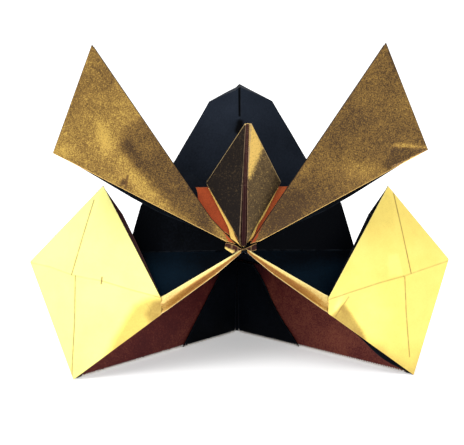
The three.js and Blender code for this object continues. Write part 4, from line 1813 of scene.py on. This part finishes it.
@dataclass
class Crest:
    """Kite with a slot in painted shade, a backing in painted red reflection and hems in painted highlight.

    slot_low, slot_high: x of the slot's middle at the heights low and high, with half its width at each.
    seed: the wave that all its layers share.
    """

    press: Press
    low: float = 50
    high: float = 101
    slot_low: float = 0.1
    slot_high: float = 2.05
    slot_low_half: float = 1.15
    slot_high_half: float = 0.6
    seed: float = 3.3

    def build(self) -> None:
        """Makes the kite, the backing and the two hems."""
        flaps = (self._kite(), self._backing(), self._hem("left"), self._hem("right"))
        for flap in flaps:
            self.press.lay(flap, CREST_PAPER)

    def _kite(self) -> Flap:
        """Upright kite with its slot.

        Returns:
            How it is dressed.
        """
        # Painted shade: the kite's left face darker.
        shaded_left_face = Facet(
            (
                (-25, self.low),
                (self.slot_low - 1.2, self.low),
                (self.slot_high - 0.6, self.high),
                (-25, self.high),
            ),
            0.3,
            tone=-0.45,
        )
        # Painted highlight: a lit triangle on the right face beside the slot.
        lit = Facet(((2.4, 101), (4.6, 101), (8.0, 90.5), (5.4, 84), (2.9, 79), (1.6, 80)), 3.0, tone=0.58)
        foot = (
            Pull(0.4, 55.4, 3.2, 2.2, (-0.1, -0.3, -2.5)),
            Pull(-2.2, 52.8, 1.6, 2.4, (0.9, 0, 0)),
            Pull(2.8, 52.8, 1.6, 2.4, (-1.1, 0, 0)),
        )
        # Painted shade: the slot drawn in the deep maroon of gold in shade.
        slot = Facet(
            (
                (self.slot_low - self.slot_low_half, self.low),
                (self.slot_low + self.slot_low_half, self.low),
                (self.slot_high + self.slot_high_half, self.high),
                (self.slot_high - self.slot_high_half, self.high),
            ),
            0.05,
        )
        return Flap(
            "crest",
            "foil",
            Finish.CREST,
            "gold_foil_antique",
            lined=Lines.STEEP,
            marks=(shaded_left_face, lit),
            seed=self.seed,
            tone=-0.1,
            pulls=foot,
            inlays=((slot, Finish.GROOVE_SHADE),),
        )

    def _backing(self) -> Flap:
        """Panel behind the kite, painted red-orange as the reflection of gold in gold.

        Returns:
            How it is dressed.
        """
        # Painted light: the backing lighter towards the right.
        marks = (Fade((-2, 62), (4, 62), tone=0.22),)
        spread = (
            Pull(-11.5, 65, 5.5, 9, (-5.4, 0.3, 0)),
            Pull(-7, 58, 5, 6, (-3.4, 0, 0)),
            Pull(7, 58, 5, 6, (3.4, 0, 0)),
        )
        return Flap(
            "crest_backing",
            "foil",
            Finish.REFLECTED_RED,
            "gold_foil_red",
            marks=marks,
            seed=self.seed,
            tone=-0.12,
            pulls=spread,
        )

    def _hem(self, side: str) -> Flap:
        """Fold beside the kite's lower edge, painted bright as a highlight.

        Args:
            side: left or right.

        Returns:
            How it is dressed.
        """
        if side == "left":
            tone = 0.2
            pulls = (
                Pull(-3.4, 56.5, 2.0, 2.5, (-1.0, 0, -0.8)),
                Pull(-1.4, 55.4, 1.6, 1.6, (-0.2, -0.4, -2.3)),
                Pull(-2.3, 52.8, 2.0, 2.8, (1.5, -0.6, -0.4)),
            )
        else:
            tone = 0.3
            pulls = (
                Pull(2.6, 56.3, 2.0, 2.5, (-0.5, 0, -0.8)),
                Pull(2.2, 55.4, 1.6, 1.6, (-0.8, -0.4, -2.3)),
                Pull(6.9, 58.5, 1.6, 5, (-0.7, 0, 0)),
                Pull(2.9, 52.8, 2.0, 2.8, (-1.9, -0.6, -0.5)),
            )
        name = f"crest_hem_{side}"
        return Flap(name, "foil", Finish.HEM, "gold_foil_bright", seed=self.seed, tone=tone, pulls=pulls)


@dataclass
class Knot:
    """Small pleats where all the flaps meet."""

    press: Press

    def build(self) -> None:
        """Makes the pleats."""
        # Painted light: highlights on the lit tab and a small spot, painted shade towards the right and down
        # the middle.
        marks = (
            Facet(((-8.5, 54.6), (-7.4, 49.5), (-3.6, 50.6), (-3.0, 52.3), (-5.6, 53.2)), 0.7, tone=0.48),
            Dimple(4.9, 52.4, 0.6, 0.8, tone=0.35),
            Fade((1.5, 52), (3.5, 52), tone=-0.2),
            Facet(((-2.2, 55), (2.2, 55), (1.2, 50), (-1.2, 50)), 1.0, tone=-0.3),
        )
        pulls = (
            Pull(-5.8, 53.0, 1.6, 3.0, (-1.2, 0, 0.3)),
            Pull(-0.3, 53.8, 2.6, 1.0, (0, 0, -1.1)),
            Pull(0.4, 51.6, 2.6, 0.8, (0, 0, 0.5)),
        )
        pleats = Flap(
            "knot",
            "foil",
            Finish.KNOT,
            "gold_foil_antique",
            lined=Lines.STEEP,
            marks=marks,
            seed=1.3,
            tone=-0.15,
            pulls=pulls,
        )
        self.press.lay(pleats, KNOT_PAPER)


@dataclass
class BrimStrips:
    """Pleated bands from the knot to the wings.

    knot, heels: x, z where they start and end. width, sag: of the band above and below the line between.
    shares: places across it. near, far: tones there beside the knot and beside the wing.
    """

    press: Press
    knot: tuple[float, float] = (0.58, 52.5)
    heels: tuple[tuple[float, float], ...] = ((-31.7, 27.2), (33.5, 26.8))
    width: float = 5.3
    sag: float = 1.7
    shares: tuple[float, ...] = (0.0, 0.04, 0.1, 0.28, 0.5, 0.64, 0.74, 1.0)
    near: tuple[float, ...] = (0.35, 0.25, -0.4, -0.2, -0.45, -0.25, 0.25, 0.42)
    far: tuple[float, ...] = (0.25, 0.2, 0.02, 0.14, 0.06, 0.14, 0.2, 0.3)

    def build(self) -> None:
        """Makes both bands."""
        for side, sign, heel in zip(("left", "right"), (-1, 1), self.heels):
            # Painted light: highlights on the pleat's upper facet and lower lip, painted shade in its groove,
            # all on the flat band.
            tones = Bands(self.knot, heel, self.width, self.sag, self.shares, self.near, self.far, tone=1.0)
            pulls = (
                Pull(heel[0] + sign * -0.3, 29, 1.0, 9, (sign * 0.42, -0.12, 0)),
                Pull(self.knot[0] + sign * 1.9, 51.3, 1.6, 1.6, (-sign * 0.5, 0, 0.6)),
            )
            name = f"brim_strip_{side}"
            band = Flap(name, "foil", Finish.STRIP, "gold_foil_bright", marks=(tones,), seed=7.7, pulls=pulls)
            self.press.lay(band, STRIP_PAPER)


@dataclass
class Wings:
    """Turned-back ends of the neck guard: gold facets on black back layers."""

    press: Press

    def marks(self, side: str) -> tuple[Mark, ...]:
        """Painted shade, painted highlights and dents of one wing.

        Args:
            side: left or right.

        Returns:
            The marks.
        """
        if side == "left":
            shade = ((-28, 34.5), (-38, 32), (-45, 27.5), (-49.5, 17.5), (-56, 7), (-28, 14))
            return (
                Facet(shade, 4.0, tone=-0.56, press=0.2),
                Facet(((-28, 33), (-35, 31), (-38, 26), (-35, 21), (-28, 18)), 2.4, tone=-0.22, press=0.2),
                Dimple(-55, 33, 7, 4, tone=0.1),
                Dimple(-72, 50, 6, 9, -40, tone=0.08),
            )
        shade = ((39.9, 29.5), (35, 25.4), (34, 23), (49, 12.5), (46.5, 20), (42.7, 25.1))
        return (
            Facet(shade, 1.6, tone=-0.44, press=0.4),
            Dimple(37.2, 28.7, 1.2, 3.4, -25, tone=0.35, press=-0.4),
            Facet(((57.7, 46.2), (57.4, 38.2), (63.6, 38.8), (61.8, 46.5)), 0.8, tone=0.1),
            Fade((50, 55), (54, 72), tone=-0.06),
            Fade((60, 40), (76, 40), tone=0.03),
            Dimple(50, 24, 8, 8, tone=0.15),
            Dimple(53, 11, 9, 2.2, -38, tone=-0.15),
            Fade((66, 14), (66, 2), tone=-0.3),
        )

    def build(self) -> None:
        """Makes both wings with their back layers."""
        # Painted light: the left wing lighter than the right, by which side the lamps are on; the left wing's
        # back layer is drawn in the deep maroon of gold in shade, as painted shade.
        for side, seed, tone, pull, shown in (
            ("left", 9.1, 0.42, Pull(-41.5, 50, 14, 3, (0.45, 0, 0.26), -60), Finish.GROOVE_SHADE),
            ("right", 11.3, 0.04, Pull(56.5, 9.0, 11, 2.6, (-1.3, 0, -1.7), -38), Finish.BLACK),
        ):
            name, marks = f"wing_{side}", self.marks(side)
            wing = Flap(name, "foil", Finish.LIT_GOLD, "gold_foil_bright", marks=marks, seed=seed, tone=tone)
            self.press.lay(wing, WING_PAPER)
            name = f"wing_back_{side}"
            layer = Flap(name, "paper", shown, "black_paper", seed=seed, tone=-0.3, pulls=(pull,))
            self.press.lay(layer, WING_PAPER)


@dataclass(frozen=True)
class Lamp:
    """A square soft light that looks at the helmet: place and side in millimetres, power in watts."""

    name: str
    place: Point
    size: float
    power: float


@dataclass
class Studio:
    """Pale floor, soft lights and the camera, in millimetres and degrees."""

    aim: Point = (-2.889, -1.252, 55.37)
    azimuth: float = -2.5
    elevation: float = 14.0
    distance: float = 800.0
    lens: float = 155.17
    sensor: float = 36.0
    sight: tuple[float, float] = (50.0, 50000.0)
    floor_size: float = 6000.0
    floor_paint: FloorPaint = FloorPaint("floor_white")
    sky: float = 1.0
    lamps: tuple[Lamp, ...] = (
        Lamp("key_light", (-420, -520, 900), 500, 5.0),
        Lamp("fill_light", (620, -620, 420), 600, 0.6),
    )

    def build(self) -> None:
        """Makes the floor, the sky, the lights and the camera."""
        self._floor()
        self._sky()
        for lamp in self.lamps:
            self._light(lamp)
        self._camera()
        bpy.context.scene.view_settings.view_transform = "Standard"

    def _floor(self) -> None:
        """A plain pale floor."""
        half = self.floor_size / 2 * MM
        corners = [(-half, -half, 0), (half, -half, 0), (half, half, 0), (-half, half, 0)]
        mesh = bpy.data.meshes.new("floor")
        mesh.from_pydata(corners, [], [(0, 1, 2, 3)])
        mesh.materials.append(self.floor_paint.material())
        floor = bpy.data.objects.new("floor", mesh)
        bpy.context.scene.collection.objects.link(floor)

    def _sky(self) -> None:
        """An even near-white room."""
        world = bpy.data.worlds.new("studio")
        world.use_nodes = True
        sockets = {"Color": (1, 1, 1, 1), "Strength": self.sky}
        Bench(world.node_tree).surface("ShaderNodeBackground", "ShaderNodeOutputWorld", sockets)
        bpy.context.scene.world = world

    def _light(self, lamp: Lamp) -> None:
        """Hangs one light.

        Args:
            lamp: its name, place, size and power.
        """
        light = bpy.data.lights.new(lamp.name, "AREA")
        light.shape = "SQUARE"
        light.size = lamp.size * MM
        light.energy = lamp.power
        rig = bpy.data.objects.new(lamp.name, light)
        rig.location = Vector(lamp.place) * MM
        rig.rotation_euler = (Vector(self.aim) * MM - rig.location).to_track_quat("-Z", "Y").to_euler()
        bpy.context.scene.collection.objects.link(rig)

    def _camera(self) -> None:
        """The camera at the photograph's viewing angle."""
        turn, rise = math.radians(self.azimuth), math.radians(self.elevation)
        back = Vector((math.sin(turn) * math.cos(rise), -math.cos(turn) * math.cos(rise), math.sin(rise)))
        lens = bpy.data.cameras.new("camera")
        lens.sensor_fit = "HORIZONTAL"
        lens.sensor_width = self.sensor
        lens.lens = self.lens
        lens.clip_start, lens.clip_end = (reach * MM for reach in self.sight)
        camera = bpy.data.objects.new("camera", lens)
        camera.location = (Vector(self.aim) + back * self.distance) * MM
        camera.rotation_euler = (-back).to_track_quat("-Z", "Y").to_euler()
        bpy.context.scene.collection.objects.link(camera)
        bpy.context.scene.camera = camera


def write_sizes() -> None:
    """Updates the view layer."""
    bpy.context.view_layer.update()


def main() -> None:
    """Builds the helmet's sub-assemblies in order, then the studio."""
    logging.basicConfig(level=logging.INFO, format="%(name)s %(message)s")
    press = Press(Palette())
    for kind in (Crown, NeckInside, Horns, Crest, Knot, BrimStrips, Wings):
        kind(press).build()
        log.info("%s done", kind.__name__)
    Studio().build()
    write_sizes()


if __name__ == "__main__":
    main()
